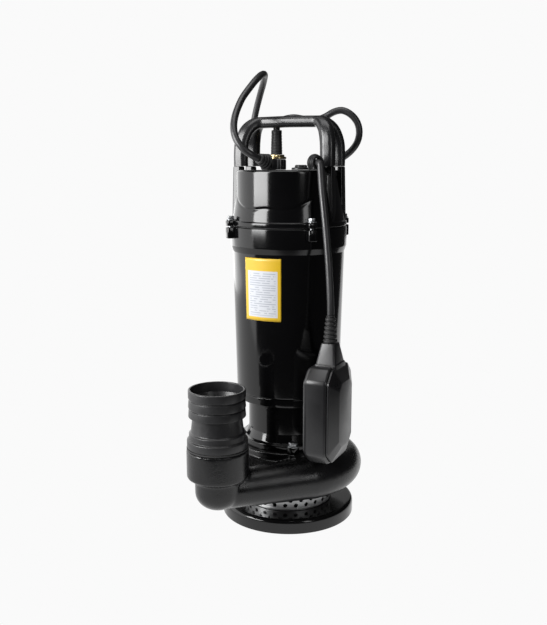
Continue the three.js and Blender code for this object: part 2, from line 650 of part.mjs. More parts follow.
function legPath(sideX, sideY, inward) {
  const x = pillar.x - inward;
  const { y } = pillar;
  const points = [
    [handle.barHalf - 10 - inward, 0, barZ], [handle.barHalf - inward, y * 0.15, barZ - 1],
    [x - 6, y * 0.6, barZ - 9], [x - 1, y * 0.92, barZ - 24],
    [x, y, pillarTop + 16], [x, y, pillarTop],
  ];
  return smoothPath(points.map(([px, py, pz]) => [px * sideX, py * sideY, pz]));
}

function addHandle() {
  const { barHalf, halfHeight, halfDepth, leg, web } = handle;
  const barPath = smoothPath([[-barHalf, 0, barZ - 0.5], [0, 0, barZ], [barHalf, 0, barZ - 0.5]]);
  const bar = swept(ovalShape(halfHeight, halfDepth, 12, 2.4), barPath, 6);
  const legs = [[1, 1], [1, -1], [-1, 1], [-1, -1]].flatMap(([sideX, sideY]) => {
    return [0, web].map((inward) => swept(circleShape(leg, 10), legPath(sideX, sideY, inward), 10));
  });
  const trim = block(200, 200, 20, 0, 0, pillarTop + GAP - 10);
  add('carry_handle', build([bar, ...legs], [trim]), finishes.plasticBlack);
}

// ---------------------------------------------------------------- cords, gland, clip and plug

function addGland() {
  const { x, y, radius, nut: nutRadius } = gland;
  const at = (geometry) => geometry.translate(x, y, 0);
  add('float_gland', at(rod(radius, coverTop + GAP, glandTop, 24)), finishes.plasticBlack);
  add('gland_nut', at(turned([
    [0, glandTop + GAP], [nutRadius, glandTop + GAP], [nutRadius, glandTop + 3], [nutRadius - 2.4, glandTop + 3.6],
    [nutRadius - 2.4, glandNutTop], [0, glandNutTop],
  ], 24)), finishes.brass);
  add('cord_sleeve', at(turned([
    [0, glandNutTop + GAP], [sleeve.bottom, glandNutTop + GAP], [sleeve.top + 0.5, sleeveTop - 2],
    [sleeve.top, sleeveTop], [0, sleeveTop],
  ], 20)), finishes.rubberBlack);
}

const bootDirection = new THREE.Vector3(-0.3, -0.9, 0.28).normalize();
const bootStart = new THREE.Vector3(outletBoot.x, outletBoot.y, coverTop + outletBoot.rise);
const clipDirection = new THREE.Vector3(0.795, -0.606, 0);

function addPowerOutlet() {
  const { x, y, radius, tip, length, block: size } = outletBoot;
  const { z } = bootStart;
  const foot = coverTop + GAP;
  const housing = build([
    rod(size / 2, foot, z + 4, 16, x, y + size / 2 + 1),
    block(size, size / 2 + 2, z + 4 - foot, x, y + size / 4 + 1, (foot + z + 4) / 2),
  ], [aim(rod(radius + GAP, -GAP - 0.5, 40, 20), bootStart, bootDirection)]);
  add('power_outlet', housing, finishes.plasticBlack);
  const ridges = 4;
  const profile = [[0, 0], [radius, 0]];
  for (let i = 0; i < ridges; i += 1) {
    const along = ((i + 0.5) * length) / ridges;
    const reach = radius + ((tip - radius) * along) / length;
    profile.push([reach, along], [reach - 1.2, along + 0.8], [reach - 1.2, along + 2]);
  }
  profile.push([tip, length - 0.4], [tip, length], [0, length]);
  add('power_boot', aim(turned(profile, 14), bootStart, bootDirection), finishes.rubberBlack);
}

function addClip() {
  const { x, y, outer, bore, length } = clip;
  const z = coverTop + clip.rise;
  const start = new THREE.Vector3(x, y, z).addScaledVector(clipDirection, -length / 2);
  const eye = aim(rod(outer, 0, length, 20), start, clipDirection);
  const inward = onCircle(1, Math.atan2(y, x) * (180 / Math.PI) + 180);
  const foot = block(14, 12, 6, 0, 0, 0).rotateZ(Math.atan2(y, x)).translate(
    x + inward.x * 3, y + inward.y * 3, coverTop + GAP + 3,
  );
  const below = block(100, 100, 30, x, y, coverTop + GAP - 15);
  const hole = aim(rod(bore, -20, length + 20, 16), start, clipDirection);
  add('float_cord_clip', build([eye, foot], [hole, below]), finishes.plasticBlack);
}

// The power cord rises from its boot, arches over the handle and hangs behind the pump to the floor.
const powerRoute = [
  [-8.6, -70, 457.3], [-13, -78, 461], [-21.5, -83.5, 468.5], [-30, -83.5, 479.5], [-35.5, -78.5, 491.5],
  [-38.3, -70.5, 504], [-39, -60, 517], [-38.5, -49, 528.5], [-36, -36.5, 540], [-33.5, -23, 551],
  [-33, -8, 558.5], [-37, 8, 560], [-45, 22, 553.5], [-55, 33, 540], [-64, 40, 522],
  [-71, 43.5, 500], [-76, 45, 475], [-79, 46, 445], [-80, 47, 410], [-80, 49, 365],
  [-80, 52, 320], [-79, 57, 270], [-78.5, 63, 220], [-79, 71, 170], [-80, 81, 125],
  [-84, 91.5, 85], [-93, 100, 52], [-107, 109, 26], [-122, 121.5, 10.5], [-133, 136, 5.2], [-138.5, 151, 4.6],
];

// The float cord leaves the sleeve, passes behind the bar, loops down outside the legs and meets the clip.
const floatRoute = [
  [-25, 18, 493.8], [-24.9, 18, 498], [-21.8, 18.3, 503.4], [-14, 19.5, 506.5], [-3, 21.5, 508],
  [10, 24, 506], [24, 27, 504.5], [36, 30, 508.5], [46, 32, 514], [56, 34.5, 516],
  [67, 37, 511], [75, 39, 501], [77.5, 40, 489.5], [75, 40.5, 478], [67.5, 40.5, 467.5],
  [57, 38.5, 459], [47, 32, 452.6], [41.3, 21, 449], [39.8, 7, 448.4], [40, -8, 448.6],
  [41, -20, 449.6], [41.2, -28.6, 451.2], [45.0, -34.4, 452], [49.8, -38, 452], [55.6, -42.4, 452],
];

// The stretch below the clip swings with the float.
const hangRoute = [
  [60, -45.8, 450.5], [61.6, -47.1, 440], [63.6, -49, 425], [67, -51.8, 405], [70.6, -54.6, 384],
  [74.2, -57.4, 361], [77.4, -59.8, 337], [80, -61.8, 312], [81.6, -62.8, 292], [82, -63, 277.3],
];

function routed(points, radius, steps) {
  return swept(circleShape(radius, 8), smoothPath(points), steps);
}

function addCords() {
  add('power_cord', routed(powerRoute, cordRadius, 46), finishes.rubberBlack);
  add('float_cord', routed(floatRoute, floatCordRadius, 26), finishes.rubberBlack);
  add('float_cord_lower', routed(hangRoute, floatCordRadius, 8), finishes.rubberBlack);
  const [inner, outer] = [coil.turnRadius - coilHalfWidth, coil.turnRadius + coilHalfWidth];
  const ring = ringBetween(inner, outer, GAP, coilHeight + GAP);
  add('power_cord_coil', ring.translate(coil.x, coil.y, 0), finishes.rubberBlack);
}

// The plug lies on the far side of the coil, along X, with its pins towards +X.
function addPlug() {
  const { radius, height, length, relief, pinRadius, pinLength, pinSpacing } = plug;
  const z = coilHeight + 2 * GAP + height / 2;
  const at = new THREE.Vector3(coil.x - length / 2, coil.y + coil.turnRadius, z);
  const along = new THREE.Vector3(1, 0, 0);
  const head = new THREE.ExtrudeGeometry(ovalShape(height / 2, radius, 20, 2.6), {
    depth: length, bevelEnabled: false,
  });
  const neck = new THREE.CylinderGeometry(height / 2 - 3, cordRadius + 1.5, relief, 12).rotateX(Math.PI / 2);
  const neckAt = neck.translate(0, 0, -relief / 2 + 0.5);
  const turnFlat = (geometry) => geometry.rotateY(Math.PI / 2).translate(at.x, at.y, at.z);
  add('plug_body', build([turnFlat(head), turnFlat(neckAt)]), finishes.rubberBlack);
  ['left', 'right'].forEach((side, i) => {
    const start = at.clone().addScaledVector(along, length + GAP);
    start.y += (i - 0.5) * pinSpacing;
    add(`plug_pin_${side}`, aim(rod(pinRadius, 0, pinLength, 12), start, along), finishes.brass);
  });
  const tail = [
    [at.x - relief - 0.2 - GAP, at.y, z], [at.x - relief - 8, at.y - 0.6, z - 0.8],
    [at.x - relief - 16, at.y - 2.5, z - 3.2], [at.x - relief - 24, at.y - 6, z - 7.5],
  ];
  add('power_cord_tail', routed(tail, cordRadius, 4), finishes.rubberBlack);
}

// ---------------------------------------------------------------- float switch

function floatOutline(inset) {
  const halfWidth = float.width / 2 - inset;
  const low = float.bottom + inset;
  const high = float.bottom + float.height - inset;
  const corner = float.corner - inset * 0.5;
  return new THREE.Shape([
    [-halfWidth + corner, low], [halfWidth - corner, low], [halfWidth, low + corner], [halfWidth, high - corner],
    [halfWidth - corner, high], [-halfWidth + corner, high], [-halfWidth, high - corner], [-halfWidth, low + corner],
  ].map(([y, z]) => new THREE.Vector2(y, z)));
}

// A bevelled slab on the outline, standing across X.
function floatSlab(inset) {
  const { thickness, bevel, x, y } = float;
  const depth = thickness - 2 * inset - 2 * bevel;
  const slab = new THREE.ExtrudeGeometry(floatOutline(inset), {
    depth, bevelThickness: bevel, bevelSize: bevel, bevelOffset: -bevel, bevelSegments: 1,
  });
  slab.translate(0, 0, -depth / 2);
  return slab.applyMatrix4(new THREE.Matrix4().makeBasis(
    new THREE.Vector3(0, 1, 0), new THREE.Vector3(0, 0, 1), new THREE.Vector3(1, 0, 0),
  )).translate(x, y, 0);
}

function addFloat() {
  const { wall, lid, neckBottom, neckTop, neckHeight } = floatShell;
  const top = float.bottom + float.height;
  const neckEnd = top + neckHeight;
  const split = float.x + float.thickness / 2 - lid;
  const beyond = 300;
  const lidSide = block(beyond, beyond, beyond, split - GAP + beyond / 2, float.y, float.bottom + 60);
  const bodySide = block(beyond, beyond, beyond, split - beyond / 2, float.y, float.bottom + 60);
  const neck = turned([
    [0, top - 8], [neckBottom, top - 8], [neckBottom, top + 4], [neckTop, neckEnd - 2],
    [neckTop, neckEnd], [0, neckEnd],
  ], 20).translate(float.x, float.y, 0);
  add('float_body', build([floatSlab(0), neck], [floatSlab(wall), lidSide]), finishes.plasticBlack);
  add('float_lid', build([floatSlab(0)], [floatSlab(wall), bodySide]), finishes.plasticBlack);

  const ribs = 5;
  const start = neckEnd + GAP;
  const pitch = (boot.height - GAP) / ribs;
  const profile = [[0, start], [boot.bottom, start]];
  for (let i = 0; i < ribs; i += 1) {
    const reach = boot.bottom + ((boot.top - boot.bottom) * i) / (ribs - 1);
    const z = start + i * pitch;
    profile.push([reach, z + pitch * 0.6], [reach - 1.8, z + pitch * 0.7], [reach - 1.8, z + pitch * 0.95]);
  }
  profile.pop();
  const bootTop = start + boot.height - GAP;
  profile.push([boot.top - 1.5, bootTop], [0, bootTop]);
  add('float_boot', turned(profile, 12).translate(float.x, float.y, 0), finishes.rubberBlack);

  const ballZ = float.bottom + wall + ball.radius + GAP;
  add('switch_ball', new THREE.SphereGeometry(ball.radius, 14, 8).translate(float.x, float.y, ballZ), finishes.steel);
  const { width, depth, height } = microSwitch;
  const switchTop = top - wall - 10;
  add('micro_switch', block(depth, width, height, float.x, float.y, switchTop - height / 2), finishes.greyPlastic);
}

// ---------------------------------------------------------------- label

function addLabel() {
  const size = { width: 50, height: 76, thickness: 0.4, margin: 4, facing: -93.5 };
  const steps = 10;
  const top = taperTop - size.margin;
  const bottom = top - size.height;
  const halfAngle = size.width / 2 / barrel.topRadius;
  const radiusAt = (z) => {
    const share = (z - barrelBottom) / (taperTop - barrelBottom);
    return barrel.bottomRadius + (barrel.topRadius - barrel.bottomRadius) * share + GAP;
  };
  const sheet = closedTurned([
    [radiusAt(bottom), bottom], [radiusAt(bottom) + size.thickness, bottom],
    [radiusAt(top) + size.thickness, top], [radiusAt(top), top],
  ], 128);
  const reach = barrel.topRadius * 2;
  const wedge = new THREE.Shape([
    new THREE.Vector2(0, 0),
    ...Array.from({ length: steps + 1 }, (_, i) => {
      const turn = degrees(size.facing) - halfAngle + (2 * halfAngle * i) / steps;
      return new THREE.Vector2(reach * Math.cos(turn), reach * Math.sin(turn));
    }),
  ]);
  const cutter = new THREE.ExtrudeGeometry(wedge, { depth: size.height + 10, bevelEnabled: false });
  cutter.translate(0, 0, bottom - 5);
  const panel = toSolid(sheet).intersect(toSolid(cutter));
  add('info_label', fromSolid(panel), finishes.labelYellow);
}

addBase();
addStrainer();
addVolute();
addHoseAdapter();
addRotor();
addOilChamber();
addLowerBracket();
addBarrel();
addUpperPlate();
addCover();
addHandle();
addGland();
addPowerOutlet();
addClip();
addCords();
addPlug();
addFloat();
addLabel();

export default pump;
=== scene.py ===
"""Submersible sump pump with a float switch: the visible model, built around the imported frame.

Sizes are in millimetres and turn into metres when a mesh is made. Each sub-assembly is a class
that makes its own pieces, and each finish is a frozen record that makes its own material.
"""

import logging
import math
from collections.abc import Callable, Sequence
from dataclasses import dataclass, field
from enum import Enum

import bmesh
import bpy
from mathutils import Matrix, Vector


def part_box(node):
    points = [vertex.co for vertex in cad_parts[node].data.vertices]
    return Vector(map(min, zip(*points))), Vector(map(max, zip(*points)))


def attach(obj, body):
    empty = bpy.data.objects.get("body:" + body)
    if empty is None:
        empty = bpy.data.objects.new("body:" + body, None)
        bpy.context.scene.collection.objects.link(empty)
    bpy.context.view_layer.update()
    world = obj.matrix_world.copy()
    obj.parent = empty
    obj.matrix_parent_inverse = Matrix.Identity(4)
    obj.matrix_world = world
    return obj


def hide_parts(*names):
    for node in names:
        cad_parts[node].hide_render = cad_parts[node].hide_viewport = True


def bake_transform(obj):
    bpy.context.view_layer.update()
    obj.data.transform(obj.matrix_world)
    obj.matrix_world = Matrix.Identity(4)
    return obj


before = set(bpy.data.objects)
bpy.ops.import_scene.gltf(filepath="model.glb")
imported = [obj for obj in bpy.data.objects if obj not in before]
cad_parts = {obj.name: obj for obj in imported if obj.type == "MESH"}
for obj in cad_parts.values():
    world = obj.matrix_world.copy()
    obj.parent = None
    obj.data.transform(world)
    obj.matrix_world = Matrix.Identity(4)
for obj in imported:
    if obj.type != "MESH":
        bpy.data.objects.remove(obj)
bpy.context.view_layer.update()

MM = 0.001
LOG = logging.getLogger("sump_pump")
LUG_FIRST = 45.0

Object = bpy.types.Object
Material = bpy.types.Material
Socket = bpy.types.NodeSocket
Tree = bpy.types.NodeTree
Node = bpy.types.Node
Ring = list[Vector]
Outline = list[tuple[float, float]]
Corner = tuple[float, float, float]
Colour = tuple[float, float, float]
Sides = tuple[float, float, float, float]


class Body(Enum):
    """The bodies that the pieces made here ride on."""

    PUMP = "pump"
    FLOAT = "float"


def placed(name: str, data: bpy.types.ID) -> Object:
    """A new object in the scene.

    Args:
        name: the object's name.
        data: what it shows.

    Returns:
        The object.
    """
    obj = bpy.data.objects.new(name, data)
    bpy.context.scene.collection.objects.link(obj)
    return obj


def smoothed(obj: Object, sharp: float) -> Object:
    """Shades the object smooth but for edges past an angle in degrees, and returns it.

    Args:
        obj: the object.
        sharp: the angle past which an edge stays sharp.

    Returns:
        The same object.
    """
    obj.data.shade_smooth()
    obj.data.set_sharp_from_angle(angle=math.radians(sharp))
    return obj


# ---------------------------------------------------------------- material helpers


def new_material(name: str) -> tuple[Material, Tree, Node]:
    """A new node material, its tree and its Principled shader.

    Args:
        name: the material's name.

    Returns:
        The material, its tree and its shader.
    """
    material = bpy.data.materials.new(name)
    material.use_nodes = True
    return material, material.node_tree, material.node_tree.nodes["Principled BSDF"]


def set_values(node: Node, values: dict[str, float | tuple[float, ...]]) -> Node:
    """Sets a node's inputs by name, and returns the node.

    Args:
        node: the node.
        values: each input's name and value.

    Returns:
        The same node.
    """
    for label, value in values.items():
        node.inputs[label].default_value = value
    return node


def group_node(tree: Tree, group: Tree, values: dict[str, float]) -> Node:
    """Places a shared group in a tree with its own values.

    Args:
        tree: where the node goes.
        group: the shared group.
        values: each input's value.

    Returns:
        The group node.
    """
    node = tree.nodes.new("ShaderNodeGroup")
    node.node_tree = group
    return set_values(node, values)


def calculated(tree: Tree, operation: str, *values: Socket | float) -> Socket:
    """A math node on sockets or numbers.

    Args:
        tree: where the node goes.
        operation: the node's operation.
        values: one to three sockets or numbers.

    Returns:
        The node's output.
    """
    node = tree.nodes.new("ShaderNodeMath")
    node.operation = operation
    for socket, value in zip(node.inputs, values):
        if isinstance(value, Socket):
            tree.links.new(value, socket)
        else:
            socket.default_value = value
    return node.outputs[0]


def mixed(tree: Tree, mask: Socket, first: Socket | Colour, second: Socket | Colour) -> Socket:
    """Mixes two colours by a mask.

    Args:
        tree: where the node goes.
        mask: 0 gives the first colour, and 1 the second.
        first: a colour or a colour socket.
        second: a colour or a colour socket.

    Returns:
        The mixed colour.
    """
    node = tree.nodes.new("ShaderNodeMix")
    node.data_type = "RGBA"
    tree.links.new(mask, node.inputs["Factor"])
    for label, value in (("A", first), ("B", second)):
        socket = next(s for s in node.inputs if s.name == label and s.type == "RGBA")
        if isinstance(value, Socket):
            tree.links.new(value, socket)
        else:
            socket.default_value = (*value, 1.0)
    return next(s for s in node.outputs if s.type == "RGBA")


def set_gloss(tree: Tree, shader: Node, tone: Socket, roughness: tuple[float, float]) -> None:
    """Lets a tone vary the shader's roughness between two values.

    Args:
        tree: where the node goes.
        shader: the shader.
        tone: a value from 0 to 1.
        roughness: the roughness at 0 and at 1.
    """
    gloss = set_values(tree.nodes.new("ShaderNodeMapRange"), {"To Min": roughness[0], "To Max": roughness[1]})
    tree.links.new(tone, gloss.inputs["Value"])
    tree.links.new(gloss.outputs["Result"], shader.inputs["Roughness"])


# ---------------------------------------------------------------- shader groups


class ShaderGroup:
    """A shader node group with named inputs and outputs, built once and placed in many materials."""

    def __init__(self, name: str, inputs: dict[str, float], outputs: Sequence[str]) -> None:
        """Makes the group and its sockets.

        Args:
            name: the group's name.
            inputs: each input's name and its default value.
            outputs: the names of the outputs, all single values.
        """
        self.tree = bpy.data.node_groups.new(name, "ShaderNodeTree")
        for label, value in inputs.items():
            socket = self.tree.interface.new_socket(label, in_out="INPUT", socket_type="NodeSocketFloat")
            socket.default_value = value
        for label in outputs:
            self.tree.interface.new_socket(label, in_out="OUTPUT", socket_type="NodeSocketFloat")
        self.source = self.tree.nodes.new("NodeGroupInput")
        self.sink = self.tree.nodes.new("NodeGroupOutput")
        self.coords = self.tree.nodes.new("ShaderNodeTexCoord").outputs["Object"]

    def link(self, start: Socket, end: Socket) -> None:
        """Joins two sockets."""
        self.tree.links.new(start, end)

    def math(self, operation: str, *values: Socket | float) -> Socket:
        """A math node in the group."""
        return calculated(self.tree, operation, *values)

    def noise(self, size: Socket, detail: float, share: float = 1.0) -> Socket:
        """Noise on object coordinates whose features are about size times share across, in metres.

        Args:
            size: the base size, in metres.
            detail: how many finer layers it has.
            share: its features' size over the base size.

        Returns:
            The noise, from 0 to 1.
        """
        node = set_values(self.tree.nodes.new("ShaderNodeTexNoise"), {"Detail": detail, "Roughness": 0.55})
        self.link(self.coords, node.inputs["Vector"])
        self.link(self.math("DIVIDE", 1.0 / share, size), node.inputs["Scale"])
        return node.outputs["Fac"]

    def mask(self, value: Socket, low: float, high: float) -> Socket:
        """A smooth step of a value between low and high.

        Args:
            value: the value.
            low: where the mask is 0.
            high: where the mask is 1.

        Returns:
            The mask.
        """
        node = set_values(self.tree.nodes.new("ShaderNodeMapRange"), {"From Min": low, "From Max": high})
        node.interpolation_type = "SMOOTHSTEP"
        self.link(value, node.inputs["Value"])
        return node.outputs["Result"]


def grain_group() -> bpy.types.NodeTree:
    """Fine surface grain: Tone varies slowly for colour and gloss, and Height carries the bumps."""
    group = ShaderGroup("surface_grain", {"Size": 0.001, "Coarse Share": 0.35}, ["Tone", "Height"])
    size = group.source.outputs["Size"]
    fine = group.noise(size, 3.0)
    coarse = group.noise(size, 2.0, share=5.0)
    cloud = group.noise(size, 4.0, share=60.0)
    share = group.source.outputs["Coarse Share"]
    rest = group.math("SUBTRACT", 1.0, share)
    height = group.math("ADD", group.math("MULTIPLY", coarse, share), group.math("MULTIPLY", fine, rest))
    tone = group.math("ADD", group.math("MULTIPLY", cloud, 0.7), group.math("MULTIPLY", height, 0.3))
    group.link(height, group.sink.inputs["Height"])
    group.link(group.mask(tone, 0.32, 0.68), group.sink.inputs["Tone"])
    return group.tree


def wear_group() -> bpy.types.NodeTree:
    """Edge wear: a mask that is 1 along convex edges, broken up by noise."""
    group = ShaderGroup("edge_wear", {"Width": 0.0008, "Amount": 0.5}, ["Mask"])
    bevel = group.tree.nodes.new("ShaderNodeBevel")
    bevel.samples = 4
    group.link(group.source.outputs["Width"], bevel.inputs["Radius"])
    geometry = group.tree.nodes.new("ShaderNodeNewGeometry")
    dot = group.tree.nodes.new("ShaderNodeVectorMath")
    dot.operation = "DOT_PRODUCT"
    group.link(bevel.outputs["Normal"], dot.inputs[0])
    group.link(geometry.outputs["Normal"], dot.inputs[1])
    edge = group.mask(group.math("SUBTRACT", 1.0, dot.outputs["Value"]), 0.02, 0.2)
    patch = group.mask(group.noise(group.source.outputs["Width"], 3.0, share=9.0), 0.42, 0.62)
    amount = group.math("MULTIPLY", patch, group.source.outputs["Amount"])
    group.link(group.math("MULTIPLY", edge, amount), group.sink.inputs["Mask"])
    return group.tree


def dust_group() -> bpy.types.NodeTree:
    """Dust that settles on faces that look up, in soft patches."""
    group = ShaderGroup("settled_dust", {"Patch": 0.02, "Amount": 0.2}, ["Mask"])
    geometry = group.tree.nodes.new("ShaderNodeNewGeometry")
    parts = group.tree.nodes.new("ShaderNodeSeparateXYZ")
    group.link(geometry.outputs["Normal"], parts.inputs[0])
    upward = group.mask(parts.outputs["Z"], 0.35, 1.0)
    patch = group.mask(group.noise(group.source.outputs["Patch"], 5.0), 0.3, 0.75)
    amount = group.math("MULTIPLY", patch, group.source.outputs["Amount"])
    group.link(group.math("MULTIPLY", upward, amount), group.sink.inputs["Mask"])
    return group.tree


GRAIN = grain_group()
WEAR = wear_group()
DUST = dust_group()
DUST_COLOUR: Colour = (0.11, 0.105, 0.095)
DUST_PATCH = 0.015
BRUSH_SCALE = (60.0, 60.0, 4000.0)
PATTERN_DEPTH = 0.6


class Pattern(Enum):
    """What is drawn on a finish besides its grain."""

    PLAIN = "plain"
    LAMINATED = "laminated"
    WOUND = "wound"
    BRUSHED = "brushed"


@dataclass(frozen=True)
class Finish:
    """One real surface finish, which makes its own procedural material.

    Colours are linear. Sizes of grain are in millimetres.
    """

    name: str
    slot: str
    colour: Colour
    shade: Colour
    bare: Colour = (0.2, 0.2, 0.2)
    roughness: tuple[float, float] = (0.4, 0.55)
    metallic: float = 0.0
    coat: float = 0.0
    coat_roughness: float = 0.05
    specular: float = 0.5
    grain: float = 0.8
    depth: float = 0.05
    coarse: float = 0.35
    wear: float = 0.3
    wear_width: float = 0.6
    dust: float = 0.1
    pattern: Pattern = Pattern.PLAIN

    def material(self) -> Material:
        """The finish's material, made the first time and shared after that."""
        found = bpy.data.materials.get(self.name)
        return found if found else self._build()

    def _build(self) -> Material:
        """Builds the node tree: grain, worn edges and dust over one shader.

        Returns:
            The new material.
        """
        material, tree, shader = new_material(self.name)
        set_values(shader, {
            "Metallic": self.metallic, "Coat Weight": self.coat, "Coat Roughness": self.coat_roughness,
            "Specular IOR Level": self.specular,
        })
        grain = group_node(tree, GRAIN, {"Size": self.grain * MM, "Coarse Share": self.coarse})
        worn = group_node(tree, WEAR, {"Width": self.wear_width * MM, "Amount": self.wear})
        dust = group_node(tree, DUST, {"Patch": DUST_PATCH, "Amount": self.dust})
        tint = mixed(tree, grain.outputs["Tone"], self.colour, self.shade)
        tint, height = self._patterned(tree, tint, grain.outputs["Height"])
        tint = mixed(tree, worn.outputs["Mask"], tint, self.bare)
        tree.links.new(mixed(tree, dust.outputs["Mask"], tint, DUST_COLOUR), shader.inputs["Base Color"])
        set_gloss(tree, shader, grain.outputs["Tone"], self.roughness)
        bump = set_values(tree.nodes.new("ShaderNodeBump"), {"Distance": self.depth * MM, "Strength": 1.0})
        tree.links.new(height, bump.inputs["Height"])
        tree.links.new(bump.outputs["Normal"], shader.inputs["Normal"])
        return material

    def _patterned(self, tree: Tree, tint: Socket, height: Socket) -> tuple[Socket, Socket]:
        """Adds laminations, enamelled turns or brush marks to the grain.

        Args:
            tree: where the nodes go.
            tint: the colour so far.
            height: the bump height so far.

        Returns:
            The colour and the height with the pattern.
        """
        if self.pattern is Pattern.PLAIN:
            return tint, height
        coords = tree.nodes.new("ShaderNodeTexCoord").outputs["Object"]
        if self.pattern is Pattern.BRUSHED:
            stretch = set_values(tree.nodes.new("ShaderNodeMapping"), {"Scale": BRUSH_SCALE})
            tree.links.new(coords, stretch.inputs["Vector"])
            coords = stretch.outputs["Vector"]
            marks = set_values(tree.nodes.new("ShaderNodeTexNoise"), {"Scale": 1.0})
        else:
            marks = tree.nodes.new("ShaderNodeTexWave")
            laminated = self.pattern is Pattern.LAMINATED
            marks.bands_direction = "Z" if laminated else "DIAGONAL"
            scale, distortion = (320.0, 0.0) if laminated else (240.0, 1.5)
            set_values(marks, {"Scale": scale, "Distortion": distortion})
        tree.links.new(coords, marks.inputs["Vector"])
        band = marks.outputs["Fac"]
        raised = calculated(tree, "MULTIPLY_ADD", band, PATTERN_DEPTH, height)
        return mixed(tree, band, tint, self.shade), raised


GLOSS_PAINT = Finish(
    "mirror_black_paint", "gloss_black_paint", (0.0016, 0.0016, 0.0018), (0.0024, 0.0024, 0.0027),
    bare=(0.02, 0.02, 0.021), roughness=(0.11, 0.15), grain=2.6, depth=0.004, coarse=0.8, wear=0.08,
    dust=0.025,
)
CAST_PAINT = Finish(
    "textured_cast_paint", "textured_black_cast", (0.0022, 0.0022, 0.0025), (0.006, 0.006, 0.0066),
    bare=(0.04, 0.04, 0.04), roughness=(0.2, 0.34), grain=1.5, depth=0.3, coarse=0.6, wear=0.25,
    wear_width=1.0, dust=0.05,
)
SMOOTH_CAST = Finish(
    "smooth_cast_paint", "textured_black_cast", (0.002, 0.002, 0.0022), (0.003, 0.003, 0.0033),
    bare=(0.03, 0.03, 0.03), roughness=(0.09, 0.15), grain=2.0, depth=0.012, coarse=0.7, wear=0.12,
    dust=0.03,
)
NYLON = Finish(
    "moulded_nylon", "black_nylon", (0.0125, 0.0125, 0.0135), (0.0175, 0.0175, 0.0185),
    bare=(0.05, 0.05, 0.052), roughness=(0.3, 0.42), specular=0.55, grain=0.45, depth=0.03,
    wear=0.2, wear_width=0.4, dust=0.1,
)
GRIP_NYLON = Finish(
    "grip_nylon", "black_nylon", (0.011, 0.011, 0.012), (0.016, 0.016, 0.017),
    bare=(0.05, 0.05, 0.052), roughness=(0.22, 0.32), specular=0.6, grain=0.9, depth=0.02,
    wear=0.15, wear_width=0.5, dust=0.08,
)
FLOAT_NYLON = Finish(
    "float_shell_plastic", "black_nylon", (0.007, 0.007, 0.0078), (0.01, 0.01, 0.011),
    bare=(0.06, 0.06, 0.06), roughness=(0.26, 0.36), specular=0.6, grain=0.5, depth=0.018,
    wear=0.3, wear_width=0.5, dust=0.12,
)
RUBBER = Finish(
    "soft_rubber", "black_rubber", (0.013, 0.013, 0.0135), (0.021, 0.021, 0.0215),
    bare=(0.04, 0.04, 0.04), roughness=(0.45, 0.62), specular=0.45, grain=0.35, depth=0.02,
    wear=0.15, dust=0.2,
)
CORD_JACKET = Finish(
    "cord_jacket", "black_rubber", (0.018, 0.018, 0.019), (0.027, 0.027, 0.0285),
    bare=(0.08, 0.08, 0.08), roughness=(0.28, 0.42), specular=0.6, grain=0.6, depth=0.02,
    wear=0.0, dust=0.12,
)
STAINLESS = Finish(
    "perforated_stainless", "stainless_sheet", (0.78, 0.785, 0.79), (0.62, 0.625, 0.63),
    bare=(0.85, 0.85, 0.85), roughness=(0.34, 0.48), metallic=1.0, grain=0.5, depth=0.01,
    wear=0.4, wear_width=0.3, dust=0.0, pattern=Pattern.BRUSHED,
)
ZINC = Finish(
    "zinc_plated_steel", "zinc_steel", (0.42, 0.43, 0.44), (0.30, 0.31, 0.32),
    bare=(0.65, 0.65, 0.65), roughness=(0.26, 0.42), metallic=1.0, grain=0.6, depth=0.02, dust=0.1,
)
IRON = Finish(
    "bare_grey_iron", "grey_iron", (0.10, 0.10, 0.105), (0.16, 0.155, 0.15),
    roughness=(0.4, 0.6), metallic=0.7, grain=0.9, depth=0.1, coarse=0.5,
)
LAMINATIONS = Finish(
    "laminated_steel", "grey_iron", (0.20, 0.20, 0.21), (0.09, 0.09, 0.095),
    roughness=(0.35, 0.5), metallic=0.8, grain=0.5, depth=0.05, pattern=Pattern.LAMINATED,
)
COPPER = Finish(
    "enamelled_wire", "enamelled_copper", (0.42, 0.13, 0.045), (0.16, 0.045, 0.015),
    roughness=(0.25, 0.4), metallic=0.7, coat=0.5, grain=0.7, depth=0.2, pattern=Pattern.WOUND,
)
BRASS = Finish(
    "turned_brass", "yellow_brass", (0.50, 0.40, 0.21), (0.36, 0.28, 0.14),
    bare=(0.8, 0.72, 0.5), roughness=(0.22, 0.36), metallic=1.0, grain=0.4, depth=0.015, wear=0.5, dust=0.05,
)
CERAMIC = Finish(
    "lapped_ceramic", "seal_ceramic", (0.66, 0.63, 0.56), (0.58, 0.55, 0.48),
    roughness=(0.2, 0.3), grain=0.3, depth=0.005,
)
GREY_PLASTIC = Finish(
    "grey_moulding", "grey_plastic", (0.24, 0.25, 0.26), (0.19, 0.20, 0.21),
    roughness=(0.38, 0.5), grain=0.5, depth=0.02,
)


